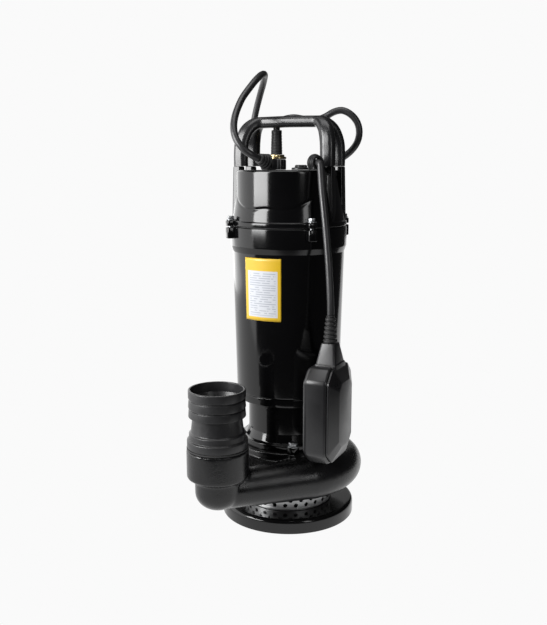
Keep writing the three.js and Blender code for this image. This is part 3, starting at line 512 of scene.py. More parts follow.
@dataclass(frozen=True)
class LabelPrint:
    """A generic printed label: a yellow border and a pale panel with rows of grey dashes."""

    name: str = "label_print"
    slot: str = "printed_label"
    border: Colour = (0.66, 0.42, 0.012)
    panel: Colour = (0.54, 0.555, 0.59)
    ink: Colour = (0.30, 0.32, 0.37)
    rows: float = 27.0
    panel_sides: Sides = (0.09, 0.91, 0.06, 0.80)
    text_sides: Sides = (0.15, 0.86, 0.09, 0.77)

    def material(self) -> Material:
        """The label's material, drawn on its own UV map."""
        found = bpy.data.materials.get(self.name)
        return found if found else self._build()

    def _within(self, tree: Tree, value: Socket, low: float, high: float) -> Socket:
        """1 where a value is between low and high, and 0 elsewhere."""
        above = calculated(tree, "GREATER_THAN", value, low)
        return calculated(tree, "MULTIPLY", above, calculated(tree, "LESS_THAN", value, high))

    def _area(self, tree: Tree, across: Socket, up: Socket, sides: Sides) -> Socket:
        """1 inside a rectangle, given as left, right, foot and top.

        Args:
            tree: where the nodes go.
            across: the place across the label.
            up: the place up the label.
            sides: the rectangle's sides.

        Returns:
            The mask.
        """
        left, right, foot, top = sides
        inside = self._within(tree, across, left, right)
        return calculated(tree, "MULTIPLY", inside, self._within(tree, up, foot, top))

    def _dashes(self, tree: Tree, across: Socket, up: Socket) -> Socket:
        """1 on the rows of dashes.

        Args:
            tree: where the nodes go.
            across: the place across the label, from 0 to 1.
            up: the place up the label, from 0 to 1.

        Returns:
            The mask.
        """
        row = calculated(tree, "MULTIPLY", up, self.rows)
        line = self._within(tree, calculated(tree, "FRACT", row), 0.3, 0.62)
        noise = set_values(tree.nodes.new("ShaderNodeTexNoise"), {"Scale": 1.0, "Detail": 1.0})
        noise.noise_dimensions = "2D"
        place = tree.nodes.new("ShaderNodeCombineXYZ")
        tree.links.new(calculated(tree, "MULTIPLY", across, 7.0), place.inputs["X"])
        shift = calculated(tree, "MULTIPLY", calculated(tree, "FLOOR", row), 3.7)
        tree.links.new(shift, place.inputs["Y"])
        tree.links.new(place.outputs[0], noise.inputs["Vector"])
        ink = calculated(tree, "GREATER_THAN", noise.outputs["Fac"], 0.4)
        margin = self._area(tree, across, up, self.text_sides)
        return calculated(tree, "MULTIPLY", calculated(tree, "MULTIPLY", line, margin), ink)

    def _build(self) -> Material:
        """Builds the panel mask and the rows of dashes.

        Returns:
            The new material.
        """
        material, tree, shader = new_material(self.name)
        set_values(shader, {"Coat Weight": 0.3, "Coat Roughness": 0.2})
        uv = tree.nodes.new("ShaderNodeSeparateXYZ")
        tree.links.new(tree.nodes.new("ShaderNodeTexCoord").outputs["UV"], uv.inputs[0])
        across, up = uv.outputs["X"], uv.outputs["Y"]
        tone = group_node(tree, GRAIN, {"Size": 0.0006, "Coarse Share": 0.3}).outputs["Tone"]
        border = mixed(tree, tone, self.border, tuple(c * 0.9 for c in self.border))
        tint = mixed(tree, self._area(tree, across, up, self.panel_sides), border, self.panel)
        tint = mixed(tree, self._dashes(tree, across, up), tint, self.ink)
        tree.links.new(tint, shader.inputs["Base Color"])
        set_gloss(tree, shader, tone, (0.35, 0.5))
        return material


LABEL = LabelPrint()

# ---------------------------------------------------------------- outlines and meshes


def polar(radius: float, angle: float, z: float = 0.0) -> Vector:
    """The point at a radius and an angle in degrees round Z."""
    turn = math.radians(angle)
    return Vector((radius * math.cos(turn), radius * math.sin(turn), z))


def rounded(corners: Sequence[Corner], closed: bool = False, steps: int = 5) -> Outline:
    """An outline whose corners are rounded.

    Args:
        corners: each corner as (across, along, fillet radius).
        closed: True where the last corner joins the first.
        steps: the points in each fillet, less one.

    Returns:
        The outline's points.
    """
    count = len(corners)
    points: Outline = []
    for i, (across, along, fillet) in enumerate(corners):
        here = Vector((across, along))
        is_end = not closed and i in (0, count - 1)
        before = Vector(corners[i - 1][:2]) - here
        after = Vector(corners[(i + 1) % count][:2]) - here
        if fillet <= 0 or is_end or before.length < 1e-6 or after.length < 1e-6:
            points.append((across, along))
            continue
        half = before.angle(after) / 2
        reach = min(fillet / math.tan(half), 0.48 * before.length, 0.48 * after.length)
        start, end = here + before.normalized() * reach, here + after.normalized() * reach
        for step in range(steps + 1):
            t = step / steps
            place = start * (1 - t) ** 2 + here * 2 * t * (1 - t) + end * t**2
            points.append((place.x, place.y))
    return points


def superellipse(half_x: float, half_y: float, squareness: float, count: int) -> Outline:
    """A rounded outline between an ellipse (squareness 2) and a rectangle."""
    def reach(value: float) -> float:
        """The signed power that squares the corners."""
        return math.copysign(abs(value) ** (2 / squareness), value)
    turns = [2 * math.pi * i / count for i in range(count)]
    return [(half_x * reach(math.cos(turn)), half_y * reach(math.sin(turn))) for turn in turns]


def inset(outline: Outline, amount: float) -> Outline:
    """Moves each point of a convex outline inwards by an amount, square to its edges."""
    if abs(amount) < 1e-9:
        return list(outline)
    count = len(outline)
    moved: Outline = []
    for i in range(count):
        before = Vector(outline[i]) - Vector(outline[i - 1])
        after = Vector(outline[(i + 1) % count]) - Vector(outline[i])
        normal = (before.normalized() + after.normalized()).normalized()
        across = Vector((-normal.y, normal.x))
        stretch = max(0.5, abs(across.dot(Vector((-before.y, before.x)).normalized())))
        place = Vector(outline[i]) + across * (amount / stretch)
        moved.append((place.x, place.y))
    return moved


@dataclass
class Shell:
    """Points and faces in millimetres, gathered before they become a mesh."""

    points: list[Vector] = field(default_factory=list)
    faces: list[tuple[int, ...]] = field(default_factory=list)

    def add(self, other: "Shell") -> "Shell":
        """Adds another shell's points and faces, and returns this one."""
        start = len(self.points)
        self.points += other.points
        self.faces += [tuple(start + i for i in face) for face in other.faces]
        return self

    def moved(self, matrix: Matrix) -> "Shell":
        """A copy that a matrix has moved."""
        return Shell([matrix @ point for point in self.points], list(self.faces))

    def at(self, x: float, y: float, z: float = 0.0) -> "Shell":
        """A copy that is shifted by a vector."""
        return self.moved(Matrix.Translation((x, y, z)))

    def aimed(self, start: Vector, direction: Vector) -> "Shell":
        """A copy that stood on +Z and now points along a direction from a start point."""
        turn = Vector((0, 0, 1)).rotation_difference(direction.normalized()).to_matrix().to_4x4()
        return self.moved(Matrix.Translation(start) @ turn)

    def mesh(self, name: str, sharp: float = 32.0) -> Object:
        """Makes the object: doubles merged, faces out, smooth but for sharp edges.

        Args:
            name: the object's name.
            sharp: the angle in degrees past which an edge is sharp.

        Returns:
            The new object, with its place in its mesh.
        """
        data = bpy.data.meshes.new(name)
        data.from_pydata([point * MM for point in self.points], [], self.faces)
        work = bmesh.new()
        work.from_mesh(data)
        bmesh.ops.remove_doubles(work, verts=work.verts, dist=1e-6)
        bmesh.ops.dissolve_degenerate(work, edges=work.edges, dist=1e-7)
        bmesh.ops.recalc_face_normals(work, faces=work.faces)
        work.to_mesh(data)
        work.free()
        return smoothed(placed(name, data), sharp)


def loft(rings: Sequence[Ring], capped: bool = True, looped: bool = False) -> Shell:
    """Joins rings of equally many points into one skin.

    Args:
        rings: the rings, in order.
        capped: True to close both ends with a flat face.
        looped: True to join the last ring to the first instead.

    Returns:
        The skin.
    """
    count = len(rings[0])
    shell = Shell([point for ring in rings for point in ring])
    spans = len(rings) if looped else len(rings) - 1
    for i in range(spans):
        low, high = i * count, ((i + 1) % len(rings)) * count
        for k in range(count):
            after = (k + 1) % count
            shell.faces.append((low + k, low + after, high + after, high + k))
    if capped and not looped:
        last = (len(rings) - 1) * count
        shell.faces.append(tuple(reversed(range(count))))
        shell.faces.append(tuple(last + k for k in range(count)))
    return shell


def turned(profile: Outline, segments: int = 96, looped: bool = False) -> Shell:
    """A solid of revolution about Z from (radius, height) points.

    Args:
        profile: the outline, which starts and ends on the axis unless it is looped.
        segments: the facets round the axis.
        looped: True where the outline closes on itself round a bore.

    Returns:
        The solid's skin.
    """
    rings = [[polar(r, 360 * k / segments, z) for k in range(segments)] for r, z in profile]
    return loft(rings, capped=False, looped=looped)


def turned_solid(corners: Sequence[Corner], segments: int, steps: int = 5) -> Shell:
    """A solid of revolution with rounded corners."""
    return turned(rounded(corners, steps=steps), segments)


def turned_ring(corners: Sequence[Corner], segments: int, steps: int = 5) -> Shell:
    """A ring of revolution with rounded corners, round a bore."""
    return turned(rounded(corners, closed=True, steps=steps), segments, looped=True)


def cylinder(radius: float, low: float, high: float, segments: int) -> Shell:
    """A plain upright cylinder."""
    return turned([(0, low), (radius, low), (radius, high), (0, high)], segments)


def oblong(half_x: float, half_y: float, soft: float, steps: int = 5) -> Outline:
    """A rectangle's outline whose corners have a radius."""
    corners = [(half_x, half_y), (-half_x, half_y), (-half_x, -half_y), (half_x, -half_y)]
    return rounded([(x, y, soft) for x, y in corners], closed=True, steps=steps)


def spun(shell: Shell, degrees: float) -> Shell:
    """A copy that is turned round Z."""
    return shell.moved(Matrix.Rotation(math.radians(degrees), 4, "Z"))


def prism(outline: Outline, low: float, high: float, bevel: float, steps: int = 3) -> Shell:
    """An upright prism on an outline, with rounded rims.

    Args:
        outline: the plan, anticlockwise.
        low: the underside's height.
        high: the top's height.
        bevel: the radius of both rims.
        steps: the facets in each rim.

    Returns:
        The closed skin.
    """
    leans = [math.pi / 2 * step / steps for step in range(steps + 1)]
    rims = [(lean, low, 1) for lean in leans] + [(lean, high, -1) for lean in reversed(leans)]
    rings: list[Ring] = []
    for lean, rim, upward in rims:
        z = rim + upward * bevel * (1 - math.cos(lean))
        rings.append([Vector((x, y, z)) for x, y in inset(outline, bevel * (1 - math.sin(lean)))])
    return loft(rings)


def four_lugs(half: float, circle: float, low: float, high: float) -> Shell:
    """The four bolt lugs that the barrel's head and the cover share.

    Args:
        half: half a lug's width.
        circle: the radius of the bolt circle.
        low: the underside's height.
        high: the top's height.

    Returns:
        The lugs' closed skins.
    """
    outline = rounded([
        (-9, -half - 1.5, 0), (-1, -half, 3), (half, -half, 5.2),
        (half, half, 5.2), (-1, half, 3), (-9, half + 1.5, 0),
    ], closed=True, steps=6)
    shell = Shell()
    for k in range(4):
        angle = LUG_FIRST + 90 * k
        place = polar(circle, angle)
        shell.add(spun(prism(outline, low, high, 1.2), angle).at(place.x, place.y))
    return shell


def smooth_path(points: Sequence[Sequence[float]], pitch: float) -> list[Vector]:
    """A centripetal Catmull-Rom curve through points.

    Args:
        points: the points that it passes through.
        pitch: the rough distance between its samples.

    Returns:
        The sampled curve.
    """
    fixed = [Vector(point) for point in points]
    knots = [2 * fixed[0] - fixed[1], *fixed, 2 * fixed[-1] - fixed[-2]]
    path: list[Vector] = [fixed[0]]
    for i in range(len(fixed) - 1):
        p0, p1, p2, p3 = knots[i : i + 4]
        gap0, gap1, gap2 = (max((b - a).length, 1e-6) ** 0.5 for a, b in ((p0, p1), (p1, p2), (p2, p3)))
        leave = ((p1 - p0) / gap0 - (p2 - p0) / (gap0 + gap1) + (p2 - p1) / gap1) * gap1
        arrive = ((p2 - p1) / gap1 - (p3 - p1) / (gap1 + gap2) + (p3 - p2) / gap2) * gap1
        steps = max(2, round((p2 - p1).length / pitch))
        for step in range(1, steps + 1):
            t = step / steps
            curve = p1 + leave * t + (3 * (p2 - p1) - 2 * leave - arrive) * t**2
            path.append(curve + (2 * (p1 - p2) + leave + arrive) * t**3)
    return path


def path_length(path: Sequence[Vector]) -> float:
    """The length of a path, in metres."""
    return sum((after - before).length for before, after in zip(path, path[1:])) * MM


def swept(path: Sequence[Vector], section: Outline, scale: Callable[[float], float] | None = None) -> Shell:
    """Sweeps a section along a path without twist, and caps both ends.

    Args:
        path: the points along the middle.
        section: the section's outline.
        scale: the section's size at a share of the way, where it changes.

    Returns:
        The closed tube.
    """
    rings: list[Ring] = []
    side = (path[1] - path[0]).orthogonal().normalized()
    if abs((path[1] - path[0]).normalized().z) < 0.9:
        side = (path[1] - path[0]).cross(Vector((0, 0, 1))).normalized()
    for i, point in enumerate(path):
        ahead = (path[min(i + 1, len(path) - 1)] - path[max(i - 1, 0)]).normalized()
        side = (side - ahead * side.dot(ahead)).normalized()
        up = side.cross(ahead)
        size = scale(i / (len(path) - 1)) if scale else 1.0
        rings.append([point + side * x * size + up * y * size for x, y in section])
    return loft(rings)


def tube(path: Sequence[Vector], radius: float, sides: int = 14) -> Shell:
    """A round tube along a path."""
    return swept(path, superellipse(radius, radius, 2.0, sides))


def settled(obj: Object) -> Object:
    """Turns the object with its modifiers into a plain mesh, and returns it."""
    graph = bpy.context.evaluated_depsgraph_get()
    graph.update()
    old = obj.data
    obj.data = bpy.data.meshes.new_from_object(obj.evaluated_get(graph), depsgraph=graph)
    obj.modifiers.clear()
    obj.data.name = obj.name
    bpy.data.meshes.remove(old)
    return obj


def melted(obj: Object, voxel: float) -> None:
    """Adds the modifier that melts overlapping shells into one skin.

    Args:
        obj: the object.
        voxel: the size of the new facets, in millimetres.
    """
    remesh = obj.modifiers.new("melt", "REMESH")
    remesh.mode = "VOXEL"
    remesh.voxel_size = voxel * MM


def cast_skin(obj: Object, voxel: float, passes: int) -> None:
    """Melts the shells of a casting into one skin with soft inner corners.

    Args:
        obj: the object, whose shells pass through each other.
        voxel: the size of the new facets, in millimetres.
        passes: how often it is smoothed.
    """
    melted(obj, voxel)
    smooth = obj.modifiers.new("soften", "SMOOTH")
    smooth.factor = 0.5
    smooth.iterations = passes
    settled(obj).data.shade_smooth()


def cut_away(obj: Object, cutter: Object) -> None:
    """Cuts a solid from the object, and removes the cutter.

    Args:
        obj: the object that is cut.
        cutter: the solid that is taken from it.
    """
    knife = obj.modifiers.new("cut", "BOOLEAN")
    knife.operation = "DIFFERENCE"
    knife.solver = "EXACT"
    knife.object = cutter
    settled(obj)
    bpy.data.objects.remove(cutter)
    smoothed(obj, 38.0)


def fit(obj: Object, finish: Finish | LabelPrint, nodes: Sequence[str] = (),
        body: Body = Body.PUMP) -> Object:
    """Dresses a finished piece, puts it on its body and hides the CAD nodes that it stands for.

    Args:
        obj: the piece.
        finish: its finish.
        nodes: the CAD nodes that it replaces.
        body: the body that it rides on.

    Returns:
        The same piece.
    """
    obj.data.materials.clear()
    obj.data.materials.append(finish.material())
    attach(obj, body.value)
    if nodes:
        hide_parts(*nodes)
    LOG.info("%s: %d faces, %s, on %s", obj.name, len(obj.data.polygons), finish.name, body.value)
    return obj


def span(node: str) -> tuple[float, float]:
    """The lowest and highest Z of a CAD node, in millimetres."""
    low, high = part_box(node)
    return low.z / MM, high.z / MM


def middle(node: str) -> tuple[float, float]:
    """The middle of a CAD node in X and Y, in millimetres."""
    low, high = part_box(node)
    return (low.x + high.x) / 2 / MM, (low.y + high.y) / 2 / MM


# ---------------------------------------------------------------- geometry node trees


class Graph:
    """A geometry node tree with named inputs that ends in Realize Instances and Set Material."""

    def __init__(self, name: str, inputs: dict[str, str]) -> None:
        """Makes the tree and its inputs.

        Args:
            name: the tree's name.
            inputs: each input's name and its socket type's last word, such as Float.
        """
        self.tree = bpy.data.node_groups.new(name, "GeometryNodeTree")
        for label, kind in {**inputs, "Material": "Material"}.items():
            self.tree.interface.new_socket(label, in_out="INPUT", socket_type=f"NodeSocket{kind}")
        self.tree.interface.new_socket("Geometry", in_out="OUTPUT", socket_type="NodeSocketGeometry")
        self.given = self.tree.nodes.new("NodeGroupInput").outputs

    def node(self, kind: str, inputs: dict[str | int, object] | None = None, **settings: object) -> Node:
        """Adds a node, with its settings and its inputs linked or set.

        Args:
            kind: the node's type.
            inputs: each input's name or place, and a socket or a value for it.
            settings: the node's own properties.

        Returns:
            The node.
        """
        node = self.tree.nodes.new(kind)
        for label, value in settings.items():
            setattr(node, label, value)
        for label, value in (inputs or {}).items():
            if isinstance(value, Socket):
                self.tree.links.new(value, node.inputs[label])
            else:
                node.inputs[label].default_value = value
        return node

    def math(self, operation: str, first: Socket | float, second: Socket | float = 0.0) -> Socket:
        """One math node's result."""
        return calculated(self.tree, operation, first, second)

    def point(self, x: Socket | float, y: Socket | float, z: Socket | float) -> Socket:
        """A vector from three values."""
        return self.node("ShaderNodeCombineXYZ", {0: x, 1: y, 2: z}).outputs[0]

    def on_circle(self, radius: Socket | float, turn: Socket, height: Socket | float) -> Socket:
        """The point at a radius, an angle in radians and a height."""
        x = self.math("MULTIPLY", radius, self.math("COSINE", turn))
        return self.point(x, self.math("MULTIPLY", radius, self.math("SINE", turn)), height)

    def moved_to(self, geometry: Socket, place: Socket) -> Socket:
        """The geometry with each of its points at a new place."""
        return self.node("GeometryNodeSetPosition", {"Geometry": geometry, "Position": place}).outputs[0]

    def index(self) -> Socket:
        """The number of each point."""
        return self.node("GeometryNodeInputIndex").outputs[0]

    def close(self, geometry: Socket) -> None:
        """Ends the tree: instances made real, and the material set."""
        real = self.node("GeometryNodeRealizeInstances", {"Geometry": geometry}).outputs[0]
        dress = {"Geometry": real, "Material": self.given["Material"]}
        out = self.tree.nodes.new("NodeGroupOutput")
        self.tree.links.new(self.node("GeometryNodeSetMaterial", dress).outputs[0], out.inputs[0])

    def run(self, name: str, finish: Finish, values: dict[str, object]) -> Object:
        """Runs the tree on an empty mesh and returns its result as a plain object.

        Args:
            name: the new object's name.
            finish: the finish that the tree sets.
            values: each input's value.

        Returns:
            The object.
        """
        obj = placed(name, bpy.data.meshes.new(name))
        modifier = obj.modifiers.new("build", "NODES")
        modifier.node_group = self.tree
        items = self.tree.interface.items_tree
        known = {item.name: item.identifier for item in items if item.in_out == "INPUT"}
        for label, value in {**values, "Material": finish.material()}.items():
            modifier[known[label]] = value
        obj.update_tag()
        bpy.context.view_layer.update()
        return settled(obj)


def ring_graph() -> Graph:
    """A tree that sets copies of one piece round a circle, each turned to face outwards."""
    graph = Graph("ring_of_pieces", {"Piece": "Object", "Count": "Int", "Circle": "Float", "First": "Float"})
    points = graph.node("GeometryNodePoints", {"Count": graph.given["Count"]}).outputs[0]
    step = graph.math("DIVIDE", math.tau, graph.given["Count"])
    turn = graph.math("ADD", graph.given["First"], graph.math("MULTIPLY", graph.index(), step))
    piece = graph.node("GeometryNodeObjectInfo", {"Object": graph.given["Piece"]}, transform_space="ORIGINAL")
    copies = graph.node("GeometryNodeInstanceOnPoints", {
        "Points": graph.moved_to(points, graph.on_circle(graph.given["Circle"], turn, 0.0)),
        "Instance": piece.outputs["Geometry"],
        "Rotation": graph.point(0.0, 0.0, turn),
    })
    graph.close(copies.outputs[0])
    return graph


def set_round(piece: Object, finish: Finish, count: int, circle: float, first: float) -> Object:
    """Sets copies of a piece round a circle and keeps the result under the piece's name.

    Args:
        piece: the one piece, at the origin.
        finish: its finish.
        count: how many there are.
        circle: the circle's radius in millimetres.
        first: the first one's angle in degrees.

    Returns:
        The group as one object.
    """
    name = piece.name
    piece.name = name + "_one"
    group = ring_graph().run(name, finish, {
        "Piece": piece, "Count": count, "Circle": circle * MM, "First": math.radians(first),
    })
    bpy.data.objects.remove(piece)
    return smoothed(group, 32.0)


def hex_bolt(name: str, head: float, height: float, seat: float, shank: float, depth: float) -> Object:
    """One hexagon-head bolt with a washer face and a rounded crown, standing on its seat.

    Args:
        name: the object's name.
        head: the head's radius over its corners.
        height: the head's height.
        seat: the height of the face that it sits on.
        shank: the shank's radius.
        depth: how far the shank goes down.

    Returns:
        The bolt at the origin.
    """
    rim, washer_top = head * 1.25, seat + height * 0.22
    washer = turned_solid([(0, seat, 0), (rim, seat, 0.3), (rim, washer_top, 0.4), (0, washer_top, 0)], 40)
    hexagon = [(p.x, p.y, head * 0.08) for p in (polar(head, 60 * k + 30) for k in range(6))]
    crown = prism(rounded(hexagon, closed=True, steps=2), seat + height * 0.2, seat + height, 0.6)
    tip, sunk = seat - depth, seat + 0.5
    stem = turned([(0, tip), (shank, tip + 0.5), (shank, sunk), (0, sunk)], 20)
    return washer.add(crown).add(stem).mesh(name)


# ---------------------------------------------------------------- base and strainer


def strainer_graph() -> Graph:
    """A tree that rolls a sheet of staggered holes, one tile to each hole, into a band round Z."""
    graph = Graph("rolled_perforated_sheet", {
        "Tile": "Object", "Columns": "Int", "Rows": "Int", "Pitch": "Float", "Row Pitch": "Float",
        "Radius": "Float", "Foot": "Float",
    })
    given, calc = graph.given, graph.math
    total = calc("MULTIPLY", given["Columns"], given["Rows"])
    points = graph.node("GeometryNodePoints", {"Count": total}).outputs[0]
    row = calc("FLOOR", calc("DIVIDE", calc("ADD", graph.index(), 0.5), given["Columns"]))
    column = calc("SUBTRACT", graph.index(), calc("MULTIPLY", row, given["Columns"]))
    shift = calc("MULTIPLY", calc("MODULO", row, 2.0), 0.5)
    x = calc("MULTIPLY", calc("ADD", column, shift), given["Pitch"])
    z = calc("MULTIPLY", calc("ADD", row, 0.5), given["Row Pitch"])
    tile = graph.node("GeometryNodeObjectInfo", {"Object": given["Tile"]}, transform_space="ORIGINAL")
    tiles = graph.node("GeometryNodeInstanceOnPoints", {
        "Points": graph.moved_to(points, graph.point(x, 0.0, z)), "Instance": tile.outputs["Geometry"],
    })
    sheet = graph.node("GeometryNodeRealizeInstances", {"Geometry": tiles.outputs[0]}).outputs[0]
    position = graph.node("GeometryNodeInputPosition").outputs[0]
    place = graph.node("ShaderNodeSeparateXYZ", {0: position}).outputs
    turn = calc("DIVIDE", place[0], given["Radius"])
    height = calc("ADD", place[2], given["Foot"])
    rolled = graph.moved_to(sheet, graph.on_circle(given["Radius"], turn, height))
    graph.close(graph.node("GeometryNodeMergeByDistance", {"Geometry": rolled, "Distance": 1e-5}).outputs[0])
    return graph


@dataclass
class BaseGroup:
    """The base disc, the perforated strainer and the suction plate over it."""

    edge: float = 6.0
    wall: float = 1.2
    columns: int = 26
    rows: int = 3
    row_pitch: float = 6.6
    hole: float = 2.75
    inlet: float = 22.5

    def build(self) -> None:
        """Makes the base disc, the strainer and the suction plate."""
        self._disc()
        self._strainer()
        self._suction_plate()

    def _disc(self) -> None:
        """The heavy base with a flat top and a rounded edge."""
        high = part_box("base_plate")[1]
        radius, top = high.x / MM, high.z / MM
        disc = turned_solid([(0, 0, 0), (radius, 0, 1.5), (radius, top, self.edge), (0, top, 0)], 160, 9)
        fit(disc.mesh("base_disc", 60), GLOSS_PAINT, ["base_plate"])

    def _tile(self, pitch: float) -> Object:
        """One tile of the sheet, with its round hole.

        Args:
            pitch: the tile's width.

        Returns:
            The flat tile in the XZ plane.
        """
        sides = 16
        shell = Shell()
        for reach in (self.hole, None):
            for k in range(sides):
                turn = math.tau * k / sides
                c, s = math.cos(turn), math.sin(turn)
                if reach:
                    shell.points.append(Vector((reach * c, 0, reach * s)))
                    continue
                grow = 1 / max(abs(c) / (pitch / 2), abs(s) / (self.row_pitch / 2))
                shell.points.append(Vector((grow * c, 0, grow * s)))
        corner_step = sides // 4
        for quarter in range(4):
            index = sides + quarter * corner_step + corner_step // 2
            sign_x = 1 if quarter in (0, 3) else -1
            sign_z = 1 if quarter in (0, 1) else -1
            shell.points[index] = Vector((sign_x * pitch / 2, 0, sign_z * self.row_pitch / 2))
        for k in range(sides):
            after = (k + 1) % sides
            shell.faces.append((k, after, sides + after, sides + k))
        return shell.mesh("strainer_tile")

    def _strainer(self) -> None:
        """The perforated band with its rolled hems."""
        low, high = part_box("strainer_basket")
        foot, top, radius = low.z / MM, high.z / MM, high.x / MM - self.wall / 2
        pitch = math.tau * radius / self.columns
        holes_foot = (foot + top) / 2 - self.rows * self.row_pitch / 2
        tile = self._tile(pitch)
        band = strainer_graph().run("strainer_sheet", STAINLESS, {
            "Tile": tile, "Columns": self.columns, "Rows": self.rows, "Pitch": pitch * MM,
            "Row Pitch": self.row_pitch * MM, "Radius": radius * MM, "Foot": holes_foot * MM,
        })
        bpy.data.objects.remove(tile)
        thickened(band, self.wall)
        hems = Shell()
        outer, inner = radius + self.wall * 0.7, radius - self.wall * 0.7
        holes_top = holes_foot + self.rows * self.row_pitch
        for low_z, high_z in ((foot, holes_foot + 0.2), (holes_top - 0.2, top)):
            corners = [(inner, low_z, 0.5), (outer, low_z, 0.5), (outer, high_z, 0.5), (inner, high_z, 0.5)]
            hems.add(turned_ring(corners, 130, 3))
        joined_with(band, hems.mesh("hems"))
        fit(smoothed(band, 35.0), STAINLESS, ["strainer_basket"])

    def _suction_plate(self) -> None:
        """The plate over the strainer with the inlet hole under the impeller."""
        foot, top = span("suction_cover")
        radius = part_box("suction_cover")[1].x / MM
        inlet = self.inlet
        corners = [(inlet, foot, 1.0), (radius, foot, 0.6), (radius, top, 0.6), (inlet, top, 1.5)]
        fit(turned_ring(corners, 96, 3).mesh("suction_plate"), CAST_PAINT, ["suction_cover"])


def thickened(obj: Object, wall: float) -> Object:
    """Gives a sheet its wall, half to each side, and returns it.

    Args:
        obj: the sheet.
        wall: its thickness in millimetres.

    Returns:
        The same object.
    """
    thick = obj.modifiers.new("wall", "SOLIDIFY")
    thick.thickness = wall * MM
    thick.offset = 0.0
    return settled(obj)


def joined_with(obj: Object, other: Object) -> Object:
    """Adds another object's mesh to the first one, removes the other, and returns the first.

    Args:
        obj: the object that is kept.
        other: the object that is taken in.

    Returns:
        The kept object.
    """
    work = bmesh.new()
    work.from_mesh(obj.data)
    work.from_mesh(other.data)
    work.to_mesh(obj.data)
    work.free()
    bpy.data.objects.remove(other)
    return obj


# ---------------------------------------------------------------- casing and outlet


def scroll_graph() -> Graph:
    """A tree for the volute: a tube whose path and section both grow along one turn."""
    graph = Graph("growing_scroll", {
        "Steps": "Int", "Start Path": "Float", "Path Growth": "Float", "Start Tube": "Float",
        "Tube Growth": "Float", "Outlet Angle": "Float", "Height": "Float",
    })
    given, calc = graph.given, graph.math
    line = graph.node("GeometryNodeCurvePrimitiveLine").outputs[0]
    dense = graph.node("GeometryNodeResampleCurve", {"Curve": line, "Count": given["Steps"]}).outputs[0]
    share = calc("DIVIDE", graph.index(), calc("SUBTRACT", given["Steps"], 1.0))
    turn = calc("SUBTRACT", given["Outlet Angle"], calc("MULTIPLY", share, math.tau))
    reach = calc("ADD", given["Start Path"], calc("MULTIPLY", share, given["Path Growth"]))
    path = graph.moved_to(dense, graph.on_circle(reach, turn, given["Height"]))
    radius = calc("ADD", given["Start Tube"], calc("MULTIPLY", share, given["Tube Growth"]))
    sized = graph.node("GeometryNodeSetCurveRadius", {"Curve": path, "Radius": radius})
    section = graph.node("GeometryNodeCurvePrimitiveCircle", {"Resolution": 40, "Radius": 1.0})
    skin = graph.node("GeometryNodeCurveToMesh", {
        "Curve": sized.outputs[0], "Profile Curve": section.outputs["Curve"], "Fill Caps": True,
    })
    if "Scale" in skin.inputs:
        graph.tree.links.new(graph.node("GeometryNodeInputRadius").outputs[0], skin.inputs["Scale"])
    graph.close(skin.outputs[0])
    return graph


